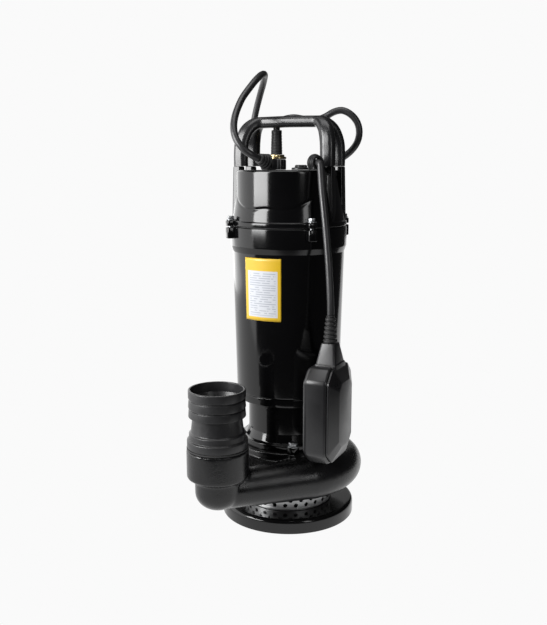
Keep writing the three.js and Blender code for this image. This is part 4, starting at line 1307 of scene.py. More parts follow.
@dataclass
class CasingGroup:
    """The spiral casing with its rising outlet, the seal and the barbed hose adapter."""

    path: float = 66.0
    path_growth: float = 7.0
    tube: float = 19.0
    tube_growth: float = 7.0
    wall: float = 5.0
    outlet_angle: float = -45.0
    centre: float = 67.0
    deck: float = 97.0
    foot: float = 50.0
    run: float = 26.0
    elbow: float = 27.5
    flatness: float = 0.8
    collar: float = 36.85
    collar_foot: float = 82.0
    collar_top: float = 121.0
    bolt_circle: float = 62.0
    bolt_first: float = -60.0
    boss: float = 8.0
    voxel: float = 1.5
    outlet_wall: float = 6.0
    ridge_pitch: float = 11.2

    def build(self) -> None:
        """Makes the casing, the seal ring and the adapter."""
        self.axis = middle("hose_adapter")
        self._volute()
        self._adapter_seal()
        self._adapter()

    def _passage(self, shrink: float, top: float) -> Shell:
        """The outlet's run, corner and rise, smaller by a wall where it is the inside.

        Args:
            shrink: how much smaller every radius is.
            top: where the rise ends.

        Returns:
            The three overlapping solids.
        """
        x, y = self.axis
        start = polar(self.path + self.path_growth, self.outlet_angle, self.centre)
        end = Vector((x, y, self.centre))
        backwards = (start - end).normalized() * 4
        wide, narrow = self.run - shrink, self.elbow * self.flatness - shrink
        shell = swept([start + backwards, (start + end) / 2, end], superellipse(1, 1, 2.0, 40),
                      lambda share: wide + (narrow - wide) * share)
        ball = self.elbow - shrink
        turns = [math.pi * i / 16 for i in range(17)]
        arc = [(ball * math.sin(turn), self.centre - ball * self.flatness * math.cos(turn)) for turn in turns]
        shell.add(turned(arc, 40).at(x, y))
        return shell.add(cylinder(ball, self.centre, top, 48).at(x, y))

    def _scroll(self, name: str, shrink: float) -> Object:
        """The spiral itself, or its inside."""
        return scroll_graph().run(name, CAST_PAINT, {
            "Steps": 161, "Start Path": self.path * MM, "Path Growth": self.path_growth * MM,
            "Start Tube": (self.tube - shrink) * MM, "Tube Growth": self.tube_growth * MM,
            "Outlet Angle": math.radians(self.outlet_angle), "Height": self.centre * MM,
        })

    def _castings(self) -> Shell:
        """The deck, the outlet, its collar and the bolt bosses, as overlapping solids.

        Returns:
            The solids.
        """
        centre, deck, foot, top = self.centre, self.deck, self.collar_foot, self.collar_top
        low, path = self.foot, self.path
        shell = turned_solid([(0, low, 0), (path, low, 1.5), (path, deck, 2.5), (0, deck, 0)], 96)
        shell.add(self._passage(0.0, foot + 2))
        shell.add(turned_solid([
            (0, foot, 0), (self.collar - 8.5, foot, 1), (self.collar, foot + 5, 2), (self.collar, top, 1.5),
            (0, top, 0),
        ], 72).at(*self.axis))
        wide = self.boss
        boss = turned_solid([(0, centre, 0), (wide, centre, 2), (wide, deck, 1.5), (0, deck, 0)], 32)
        for k in range(4):
            place = polar(self.bolt_circle, self.bolt_first + 90 * k)
            shell.add(boss.at(place.x, place.y))
        return shell

    def _bores(self) -> Object:
        """The water's way through the casing, as one solid to cut with.

        Returns:
            The cutter.
        """
        bore = self._passage(self.outlet_wall, self.collar_top - 18).mesh("bore")
        inside = joined_with(self._scroll("inside", self.wall), bore)
        seat, above = self.foot - 0.1, self.deck + 4
        chamber = turned([
            (0, self.foot - 8), (56.8, self.foot - 8), (56.8, seat), (50, seat), (50, 84), (48, 84),
            (48, above), (0, above),
        ], 72)
        slot = cylinder(self.path, self.centre - 9, self.centre + 9, 72)
        socket = cylinder(30, self.collar_top - 20, self.collar_top + 4, 60).at(*self.axis)
        joined_with(inside, chamber.add(slot).add(socket).mesh("bores"))
        melted(inside, 1.6)
        return settled(inside)

    def _volute(self) -> None:
        """The casing: scroll and castings melted together, then bored."""
        casing = joined_with(self._scroll("volute_body", 0.0), self._castings().mesh("casting"))
        cast_skin(casing, self.voxel, 4)
        cut_away(casing, self._bores())
        fit(casing, CAST_PAINT, ["volute_casing"])

    def _adapter_seal(self) -> None:
        """The flat rubber ring under the adapter."""
        foot, top = span("adapter_gasket")
        low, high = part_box("adapter_gasket")
        radius, bore = (high.x - low.x) / 2 / MM, 31.0
        corners = [(bore, foot, 0.5), (radius, foot, 0.7), (radius, top, 0.7), (bore, top, 0.5)]
        seal = turned_ring(corners, 96, 3)
        fit(seal.at(*self.axis).mesh("adapter_seal"), RUBBER, ["adapter_gasket"])

    def _adapter(self) -> None:
        """The hose adapter: flange, lip, neck, two ridges and a rim."""
        foot, top = span("hose_adapter")
        seat = span("adapter_gasket")[1] + 0.3
        bore, spigot, flange, lip, neck, ridge, mouth = 26.5, 29.7, 36.0, 33.5, 29.2, 33.9, 31.0
        first = self.collar_top + 39.5
        rim = first + 2 * self.ridge_pitch
        corners: list[Corner] = [
            (bore, foot, 1.0), (spigot, foot, 1.0), (spigot, seat, 0.2), (flange, seat, 1.0),
            (flange, seat + 9.5, 1.6), (lip, seat + 10.2, 0.8), (lip, seat + 17.0, 1.2),
            (neck + 2, seat + 18.5, 1.5), (neck, first, 0.5),
        ]
        for k in range(2):
            z = first + self.ridge_pitch * k
            corners += [(ridge, z + 0.3, 0.5), (ridge - 0.6, z + 9.0, 0.8), (ridge - 1.8, z + 9.8, 0.5),
                        (ridge - 1.8, z + 11.1, 0.2)]
        corners += [(ridge, rim + 0.4, 0.7), (ridge, top, 1.1), (mouth, top, 0.9), (mouth, top - 12, 2.0),
                    (bore, top - 20, 3.0)]
        adapter = turned_ring(corners, 120, 4).at(*self.axis)
        fit(adapter.mesh("barbed_adapter", 40), NYLON, ["hose_adapter"])


# ---------------------------------------------------------------- oil chamber and motor


@dataclass
class NeckGroup:
    """The oil chamber between casing and motor, its bolts, its filler plug and the bearing ring."""

    neck: float = 51.0
    flange: float = 60.0
    skirt: float = 54.5
    bolt_circle: float = 62.0
    bolt_first: float = -60.0
    ear: float = 8.0
    plug_angle: float = 140.0
    base: float = 97.3

    def build(self) -> None:
        """Makes the housing, the bearing ring, the bolts and the filler plug."""
        self._housing()
        self._ring()
        self._bolts()
        self._filler()

    def _housing(self) -> None:
        """The oil chamber with its flange, ears and sloping skirt."""
        foot, top = span("oil_chamber")
        base, deck = self.base, self.base + 7.7
        body = turned_ring([
            (20, foot, 0.5), (47.7, foot, 0.5), (47.7, base, 0.3), (self.flange, base, 0.6),
            (self.flange, deck, 1.5), (self.skirt, base + 8.2, 2.0), (self.neck, base + 18.7, 3.0),
            (self.neck, top, 1.0), (41, top, 0.5), (41, base + 30, 2.0), (20, base + 30, 0.5),
        ], 112)
        half = self.ear
        outline = rounded([(-14, -half, 0), (0, -half, 7.5), (half, 0, 7.5), (0, half, 7.5), (-14, half, 0)],
                          closed=True)
        for k in range(4):
            angle = self.bolt_first + 90 * k
            place = polar(self.bolt_circle, angle)
            body.add(spun(prism(outline, base, deck, 1.0), angle).at(place.x, place.y))
        fit(body.mesh("neck_housing"), SMOOTH_CAST, ["oil_chamber"])

    def _ring(self) -> None:
        """The lower bearing bracket, whose rim shows under the barrel."""
        foot, top = span("lower_bracket")
        low = span("oil_chamber")[1] + 0.3
        high, pocket = low + 10.6, top - 13.6
        ring = turned_ring([
            (11, foot, 0), (26, foot, 1), (26, low - 4, 1), (40.7, low - 4, 0.5), (40.7, low, 0.2),
            (64, low, 1.6), (64, high, 1.6), (61.2, high, 0.2), (61.2, top, 0.5),
            (20.3, top, 0.5), (20.3, pocket, 0.3), (11, pocket, 0),
        ], 128, 4)
        fit(ring.mesh("bracket_ring"), SMOOTH_CAST, ["lower_bracket"])

    def _bolts(self) -> None:
        """The four hexagon bolts through the ears."""
        bolt = hex_bolt("casing_bolts", 5.6, 5.5, self.base + 8.0, 3.0, 23.0)
        group = set_round(bolt, ZINC, 4, self.bolt_circle, self.bolt_first)
        fit(group, ZINC, [f"casing_bolt_{k}" for k in range(1, 5)])

    def _filler(self) -> None:
        """The hexagon plug of the oil filler, on its sealing washer."""
        foot, top = span("oil_plug")
        start = Matrix.Translation(Vector((0, 0, (foot + top) / 2)) * MM)
        aim = Vector((0, 0, 1)).rotation_difference(polar(1, self.plug_angle)).to_matrix().to_4x4()
        plug = hex_bolt("filler_plug", 7.6, 5.0, self.neck + 0.7, 5.0, 6.0)
        plug.data.transform(start @ aim)
        fit(plug, ZINC, ["oil_plug"])


@dataclass
class MotorGroup:
    """The motor barrel with its lugs, the seal on top of it and the label."""

    bottom_radius: float = 65.8
    top_radius: float = 70.1
    head: float = 72.7
    bore: float = 61.5
    head_height: float = 30.7
    lug: float = 5.6
    lug_height: float = 13.7
    lug_circle: float = 76.0
    label_width: float = 50.0
    label_facing: float = -93.5

    def build(self) -> None:
        """Makes the barrel, the cover seal and the label."""
        self.foot, self.top = span("motor_barrel")
        self.taper_top = self.top - self.head_height
        self._barrel()
        self._seal()
        self._label()

    def radius_at(self, z: float) -> float:
        """The barrel's outer radius at a height on its taper."""
        share = (z - self.foot) / (self.taper_top - self.foot)
        return self.bottom_radius + (self.top_radius - self.bottom_radius) * share

    def _barrel(self) -> None:
        """The tapered barrel with a bead at its foot, a flared head and four lugs."""
        seat, recess = self.top - 29.0, 65
        body = turned_ring([
            (self.bore, self.foot, 0.5), (self.bottom_radius, self.foot, 2.2),
            (self.top_radius, self.taper_top, 3.0), (self.head, self.taper_top + 7.5, 5.0),
            (self.head, self.top, 1.0), (recess, self.top, 0.4), (recess, seat, 0.3), (self.bore, seat, 0.5),
        ], 192, 8)
        body.add(four_lugs(self.lug, self.lug_circle, self.top - self.lug_height, self.top))
        fit(body.mesh("barrel_shell", 34), GLOSS_PAINT, ["motor_barrel"])

    def _seal(self) -> None:
        """The thin gasket between barrel and cover."""
        foot, top = span("cover_gasket")
        inner, outer = 65.5, 71.6
        corners = [(inner, foot, 0.3), (outer, foot, 0.4), (outer, top, 0.4), (inner, top, 0.3)]
        fit(turned_ring(corners, 128, 2).mesh("cover_seal"), RUBBER, ["cover_gasket"])

    def _label(self) -> None:
        """The label: a thin curved sheet with its own UV map."""
        foot, top = span("info_label")
        half = self.label_width / 2 / self.top_radius
        facing = math.radians(self.label_facing)
        columns, rows = 36, 24
        data = bpy.data.meshes.new("rating_label")
        work = bmesh.new()
        layer = work.loops.layers.uv.new("UVMap")
        grid: list[list[bmesh.types.BMVert]] = []
        for j in range(rows + 1):
            z = foot + (top - foot) * (j / rows)
            turns = [facing + (2 * i / columns - 1) * half for i in range(columns + 1)]
            radius = (self.radius_at(z) + 0.45) * MM
            grid.append([work.verts.new((radius * math.cos(t), radius * math.sin(t), z * MM)) for t in turns])
        for j in range(rows):
            for i in range(columns):
                corners = ((i, j), (i + 1, j), (i + 1, j + 1), (i, j + 1))
                face = work.faces.new([grid[b][a] for a, b in corners])
                for loop, (a, b) in zip(face.loops, corners):
                    loop[layer].uv = (a / columns, b / rows)
        work.to_mesh(data)
        work.free()
        data.shade_smooth()
        fit(thickened(placed("rating_label", data), 0.3), LABEL, ["info_label"])


# ---------------------------------------------------------------- cover


@dataclass
class CoverGroup:
    """The bell cover with its boss, pillars and lugs, its bolts and the vent plug."""

    head: float = 72.7
    shoulder: float = 70.4
    crown: float = 61.4
    flange_height: float = 5.7
    half_x: float = 62.5
    half_y: float = 68.0
    squareness: float = 2.15
    notch: float = 0.5
    notch_width: float = 0.22
    edge: float = 3.2
    wall: float = 5.5
    pillar_x: float = 61.0
    pillar_y: float = 17.0
    pillar_top: float = 448.0
    lug_height: float = 6.7
    lug_circle: float = 76.0
    lug: float = 5.6
    sides: int = 216

    def build(self) -> None:
        """Makes the cover, its bolts and the vent plug."""
        self.foot = span("top_cover")[0]
        self.flange_top = self.foot + self.flange_height
        self.top = self.pillar_top - 4.5
        self._bell()
        self._bolts()
        self._vent()

    def _bell_radius(self, z: float) -> float:
        """The bell's own radius at a height."""
        share = (z - self.flange_top) / (self.top - self.flange_top)
        return self.shoulder + (self.crown - self.shoulder) * share

    def _boss_radius(self, turn: float) -> float:
        """The boss's radius in one direction, a rounded oblong in plan."""
        c, s = abs(math.cos(turn)) / self.half_x, abs(math.sin(turn)) / self.half_y
        return (c**self.squareness + s**self.squareness) ** (-1 / self.squareness)

    def _skin_radius(self, turn: float, z: float) -> float:
        """The outer one of bell and boss, with a fine groove where they cross."""
        bell, boss = self._bell_radius(z), self._boss_radius(turn)
        return max(bell, boss) - self.notch * math.exp(-(((bell - boss) / self.notch_width) ** 2))

    def _ring(self, z: float, radius: Callable[[float], float]) -> Ring:
        """One ring at a height, with a radius for each direction."""
        turns = [math.tau * k / self.sides for k in range(self.sides)]
        return [Vector((radius(turn) * math.cos(turn), radius(turn) * math.sin(turn), z)) for turn in turns]

    def _outer_rings(self) -> list[Ring]:
        """The rings of the outside, from the flange up to the middle of the top.

        Returns:
            The rings, in order.
        """
        low, high = self.flange_top, self.top - self.edge
        profile = rounded([
            (self.head - 6, self.foot, 0), (self.head, self.foot, 0.8), (self.head, low, 1.4),
            (self.shoulder, low + 0.3, 0.8), (self._bell_radius(low + 3), low + 3, 0),
        ])
        rings = [self._ring(z, lambda turn: r) for r, z in profile]
        rows, steps, start = 84, 6, low + 4.0
        for row in range(rows + 1):
            z = start + (high - start) * row / rows
            rings.append(self._ring(z, lambda turn: self._skin_radius(turn, z)))
        for step in range(1, steps + 1):
            lean = math.pi / 2 * step / steps
            pull = self.edge * (1 - math.cos(lean))
            z = high + self.edge * math.sin(lean)
            rings.append(self._ring(z, lambda turn: self._skin_radius(turn, high) - pull))
        for share in (0.85, 0.6, 0.3, 0.0):
            rim = self.edge
            rings.append(self._ring(self.top, lambda turn: (self._skin_radius(turn, high) - rim) * share))
        return rings

    def _bell(self) -> None:
        """The bell as one closed skin, with its pillars and lugs."""
        rings = self._outer_rings()
        inner_top, crown, shoulder = self.top - self.wall, self.crown - self.wall, self.shoulder - self.wall
        inside = ((0.0, inner_top), (crown - 2, inner_top), (crown, inner_top - 3), (shoulder, self.foot + 2),
                  (shoulder, self.foot))
        rings += [self._ring(z, lambda turn: r) for r, z in inside]
        body = loft(rings, capped=False, looped=True)
        for side_x in (1, -1):
            for side_y in (1, -1):
                body.add(self._pillar(side_x, side_y))
        body.add(four_lugs(self.lug, self.lug_circle, self.foot, self.foot + self.lug_height))
        fit(body.mesh("bell_cover", 36), GLOSS_PAINT, ["top_cover"])

    def _pillar(self, side_x: int, side_y: int) -> Shell:
        """One tapered pillar that carries a leg of the handle.

        Args:
            side_x: 1 or -1, the side along X.
            side_y: 1 or -1, the side along Y.

        Returns:
            The pillar's closed skin.
        """
        x, y, top = side_x * self.pillar_x, side_y * self.pillar_y, self.pillar_top
        rings: list[Ring] = []
        foot = self.flange_top - 2
        rows = ((foot, 0.0, 7.0), (top - 1.6, 0.0, 5.0), (top - 0.5, 0.4, 5.0), (top, 1.4, 5.0))
        for z, pull, half in rows:
            plan = inset(oblong(half, 6.5, 1.8, 4), pull)
            rings.append([Vector((x + across, y + along, z)) for across, along in plan])
        return loft(rings)

    def _bolts(self) -> None:
        """The four bolts that hold the cover on the barrel."""
        seat = self.foot + self.lug_height + 0.3
        bolt = hex_bolt("cover_bolts", 4.4, 5.0, seat, 2.5, seat - self.foot + 8)
        group = set_round(bolt, ZINC, 4, self.lug_circle, LUG_FIRST)
        fit(group, ZINC, [f"cover_bolt_{k}" for k in range(1, 5)])

    def _vent(self) -> None:
        """The low vent plug with its finned cap."""
        foot, top = span("vent_plug")
        body = turned_solid([
            (0, foot, 0), (12, foot, 0.5), (12, foot + 2.4, 0.8), (8, foot + 2.9, 0.6), (7, top, 1.2),
            (0, top, 0),
        ], 48)
        corners = [(6.4, -0.7, 0.2), (7.9, -0.5, 0.3), (7.9, 0.5, 0.3), (6.4, 0.7, 0.2)]
        plan = rounded(corners, closed=True, steps=2)
        fin = prism(plan, foot + 2, top - 0.8, 0.3)
        for k in range(12):
            body.add(spun(fin, 30 * k))
        fit(body.at(*middle("vent_plug")).mesh("vent_cap"), NYLON, ["vent_plug"])


# ---------------------------------------------------------------- handle


@dataclass
class HandleGroup:
    """The carrying handle: a bar along X on four legs that splay to the pillars."""

    pillar_x: float = 61.0
    pillar_y: float = 17.0
    foot: float = 448.0
    bar_z: float = 502.0
    bar_half: float = 46.0
    half_height: float = 7.0
    half_depth: float = 7.6
    leg: float = 6.6
    web: float = 6.0
    voxel: float = 1.1

    def build(self) -> None:
        """Makes the handle as one moulding."""
        end, top = self.bar_half, self.bar_z
        bar = smooth_path([(-end, 0, top - 0.5), (0, 0, top), (end, 0, top - 0.5)], 3)
        shell = swept(bar, superellipse(self.half_depth, self.half_height, 2.5, 40))
        for side_x in (1, -1):
            for side_y in (1, -1):
                for share in (0.0, 0.5, 1.0):
                    shell.add(self._leg(side_x, side_y, self.web * share))
        grip = shell.mesh("grip_frame")
        cast_skin(grip, self.voxel, 6)
        seat = self.foot + 0.15
        cut_away(grip, prism(oblong(90, 90, 0), seat - 20, seat, 0.0, 1).mesh("seat"))
        fit(grip, GRIP_NYLON, ["carry_handle"])

    def _leg(self, side_x: int, side_y: int, inward: float) -> Shell:
        """One rod of a leg, from the bar's end down to its pillar.

        Args:
            side_x: 1 or -1, the side along X.
            side_y: 1 or -1, the side along Y.
            inward: how far it stands inside the outer rod.

        Returns:
            The leg's closed skin.
        """
        x, y, top = self.pillar_x - inward, self.pillar_y, self.bar_z
        end = self.bar_half - inward
        points = [
            (end - 10, 0, top), (end, y * 0.15, top - 1), (x - 6, y * 0.6, top - 9),
            (x - 1, y * 0.92, top - 24), (x, y, self.foot + 16), (x, y, self.foot - 3),
        ]
        path = smooth_path([(px * side_x, py * side_y, pz) for px, py, pz in points], 2.5)
        return swept(path, superellipse(self.leg, self.leg, 2.4, 32), lambda t: 1.0 - 0.06 * t)


# ---------------------------------------------------------------- gland, outlet, clip


@dataclass
class GlandGroup:
    """What the cords come out of: the float gland, the power outlet and the cord clip."""

    boot_direction: tuple[float, float, float] = (-0.3, -0.9, 0.28)
    boot_start: tuple[float, float, float] = (-4.0, -56.0, 453.0)
    clip_centre: tuple[float, float, float] = (53.0, -40.4, 452.0)
    clip_direction: tuple[float, float, float] = (0.795, -0.606, 0.0)

    def build(self) -> None:
        """Makes the gland, its nut and sleeve, the outlet and the clip."""
        self.gland_axis = middle("float_gland")
        self._gland()
        self._nut()
        self._sleeve()
        self._outlet()
        self._clip()

    def _gland(self) -> None:
        """The gland body with its grip flutes."""
        foot, top = span("float_gland")
        body = turned_solid([(0, foot, 0), (11.6, foot, 0.6), (11.6, top, 1.0), (0, top, 0)], 60)
        rib = prism(superellipse(0.9, 1.0, 2.0, 8), foot + 0.6, top - 1.2, 0.4).at(11.3, 0)
        for k in range(20):
            body.add(spun(rib, 18 * k))
        fit(body.at(*self.gland_axis).mesh("gland_body"), NYLON, ["float_gland"])

    def _nut(self) -> None:
        """The brass nut on its washer."""
        foot, top = span("gland_nut")
        nut = turned_solid([
            (0, foot, 0), (12.3, foot, 0.4), (12.3, foot + 2.6, 0.8), (9.8, foot + 3.2, 0.5), (9.8, top, 0.6),
            (0, top, 0),
        ], 72)
        flats = [(p.x, p.y, 0.5) for p in (polar(10.8, 60 * k) for k in range(6))]
        nut.add(prism(rounded(flats, closed=True, steps=3), foot + 2.8, top - 0.3, 0.5))
        fit(nut.at(*self.gland_axis).mesh("brass_nut"), BRASS, ["gland_nut"])

    def _sleeve(self) -> None:
        """The tapered sleeve that the float cord leaves, with fine rings."""
        foot, top = span("cord_sleeve")
        wide, narrow, rings = 7.3, 6.6, 7
        corners: list[Corner] = [(0, foot, 0), (wide, foot, 0.4)]
        for k in range(rings):
            z = foot + 2 + (top - foot - 5) * k / rings
            radius = wide + (narrow - wide) * k / rings
            corners += [(radius, z, 0.4), (radius - 0.4, z + 0.9, 0.3), (radius - 0.05, z + 1.9, 0.4)]
        corners += [(narrow, top - 1, 0.5), (narrow - 0.3, top, 0.5), (0, top, 0)]
        sleeve = turned_solid(corners, 48, 3).at(*self.gland_axis)
        fit(sleeve.mesh("rubber_sleeve", 50), RUBBER, ["cord_sleeve"])

    def _ribbed_cone(self, wide: float, narrow: float, length: float, ribs: int, groove: float) -> Shell:
        """A corrugated boot along +Z.

        Args:
            wide: the radius at its foot.
            narrow: the radius at its tip.
            length: its length.
            ribs: the number of ribs.
            groove: the depth between ribs.

        Returns:
            The closed skin.
        """
        corners: list[Corner] = [(0, 0, 0), (wide, 0, 0.5)]
        for k in range(ribs):
            along = length * (k + 0.55) / ribs
            radius = wide + (narrow - wide) * along / length
            pitch = length / ribs
            corners += [(radius, along - pitch * 0.15, 0.6), (radius - groove, along + pitch * 0.1, 0.4),
                        (radius - groove, along + pitch * 0.35, 0.4)]
        corners += [(narrow, length - 0.6, 0.4), (narrow - 0.8, length, 0.4), (0, length, 0)]
        return turned(rounded(corners, steps=3), 56)

    def _outlet(self) -> None:
        """The block that the power cord leaves, and its corrugated boot."""
        start, direction = Vector(self.boot_start), Vector(self.boot_direction)
        foot, top = span("power_outlet")
        low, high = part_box("power_outlet")
        half, front, back = (high.x - low.x) / 2 / MM, low.y / MM + 0.5, high.y / MM
        plan = rounded([(half, front, 2.5), (half, back, 8.3), (-half, back, 8.3), (-half, front, 2.5)],
                       closed=True, steps=7)
        block = prism([(x + start.x, y) for x, y in plan], foot, top - 0.2, 1.8).mesh("cord_outlet")
        cut_away(block, cylinder(10.5, -1, 30, 48).aimed(start, direction).mesh("socket"))
        fit(block, NYLON, ["power_outlet"])
        boot = self._ribbed_cone(9.9, 6.2, 14.0, 4, 1.1).aimed(start, direction)
        fit(boot.mesh("outlet_boot", 45), RUBBER, ["power_boot"])

    def _eye(self, centre: Vector, direction: Vector) -> Shell:
        """The clip's corrugated eye, round the float cord.

        Args:
            centre: its middle.
            direction: the way that the cord runs.

        Returns:
            The eye's closed skin.
        """
        length = 9.0
        corners: list[Corner] = [(5.4, 0, 0.5), (10.2, 0, 0.8)]
        for k in range(3):
            z, radius = length * (k + 0.6) / 3.4, 10.3 - 0.7 * k
            corners += [(radius, z, 0.4), (radius - 1.1, z + 0.5, 0.3), (radius - 1.1, z + 1.3, 0.3)]
        corners += [(8.2, length, 0.8), (5.4, length, 0.6)]
        return turned_ring(corners, 56, 3).aimed(centre - direction * length / 2, direction)

    def _clip(self) -> None:
        """The clip that holds the float cord: an eye on a foot."""
        centre, direction = Vector(self.clip_centre), Vector(self.clip_direction)
        foot = span("float_cord_clip")[0]
        bearing = math.degrees(math.atan2(centre.y, centre.x))
        place = centre - polar(3, bearing)
        pad = spun(prism(oblong(7, 6, 2), foot, foot + 5.4, 1.2), bearing)
        clip = pad.at(place.x, place.y).mesh("cord_eye")
        cut_away(clip, cylinder(5.6, -20, 20, 40).aimed(centre, direction).mesh("bore"))
        ring = self._eye(centre, direction).mesh("eye_ring")
        below = prism(oblong(60, 60, 0), foot - 40, foot, 0.0, 1).at(centre.x, centre.y)
        cut_away(ring, below.mesh("below"))
        fit(joined_with(clip, ring), NYLON, ["float_cord_clip"])


# ---------------------------------------------------------------- cords and plug


POWER_ROUTE = [
    (-8.6, -70, 457.3), (-13, -78, 461), (-21.5, -83.5, 468.5), (-30, -83.5, 479.5), (-35.5, -78.5, 491.5),
    (-38.3, -70.5, 504), (-39, -60, 517), (-38.5, -49, 528.5), (-36, -36.5, 540), (-33.5, -23, 551),
    (-33, -8, 558.5), (-37, 8, 560), (-45, 22, 553.5), (-55, 33, 540), (-64, 40, 522),
    (-71, 43.5, 500), (-76, 45, 475), (-79, 46, 445), (-80, 47, 410), (-80, 49, 365),
    (-80, 52, 320), (-79, 57, 270), (-78.5, 63, 220), (-79, 71, 170), (-80, 81, 125),
    (-84, 91.5, 85), (-93, 100, 52), (-107, 109, 26), (-122, 121.5, 10.5),
    (-133, 136, 5.2), (-138.5, 151, 4.6),
]
FLOAT_ROUTE = [
    (-25, 18, 493.2), (-24.9, 18, 498), (-21.8, 18.3, 503.4), (-14, 19.5, 506.5), (-3, 21.5, 508),
    (10, 24, 506), (24, 27, 504.5), (36, 30, 508.5), (46, 32, 514), (56, 34.5, 516),
    (67, 37, 511), (75, 39, 501), (77.5, 40, 489.5), (75, 40.5, 478), (67.5, 40.5, 467.5),
    (57, 38.5, 459), (47, 32, 452.6), (41.3, 21, 449), (39.8, 7, 448.4), (40, -8, 448.6),
    (41, -20, 449.6), (41.2, -28.6, 451.2), (45, -34.4, 452), (49.8, -38, 452), (55.6, -42.4, 452),
]
HANG_ROUTE = [
    (60, -45.8, 450.5), (61.6, -47.1, 440), (63.6, -49, 425), (67, -51.8, 405), (70.6, -54.6, 384),
    (74.2, -57.4, 361), (77.4, -59.8, 337), (80, -61.8, 312), (81.6, -62.8, 292), (82, -63, 277.0),
]
TAIL_ROUTE = [(-122, 232, 32.6), (-114, 235.5, 36.9), (-106, 237.4, 39.3), (-98.5, 238, 40.1)]


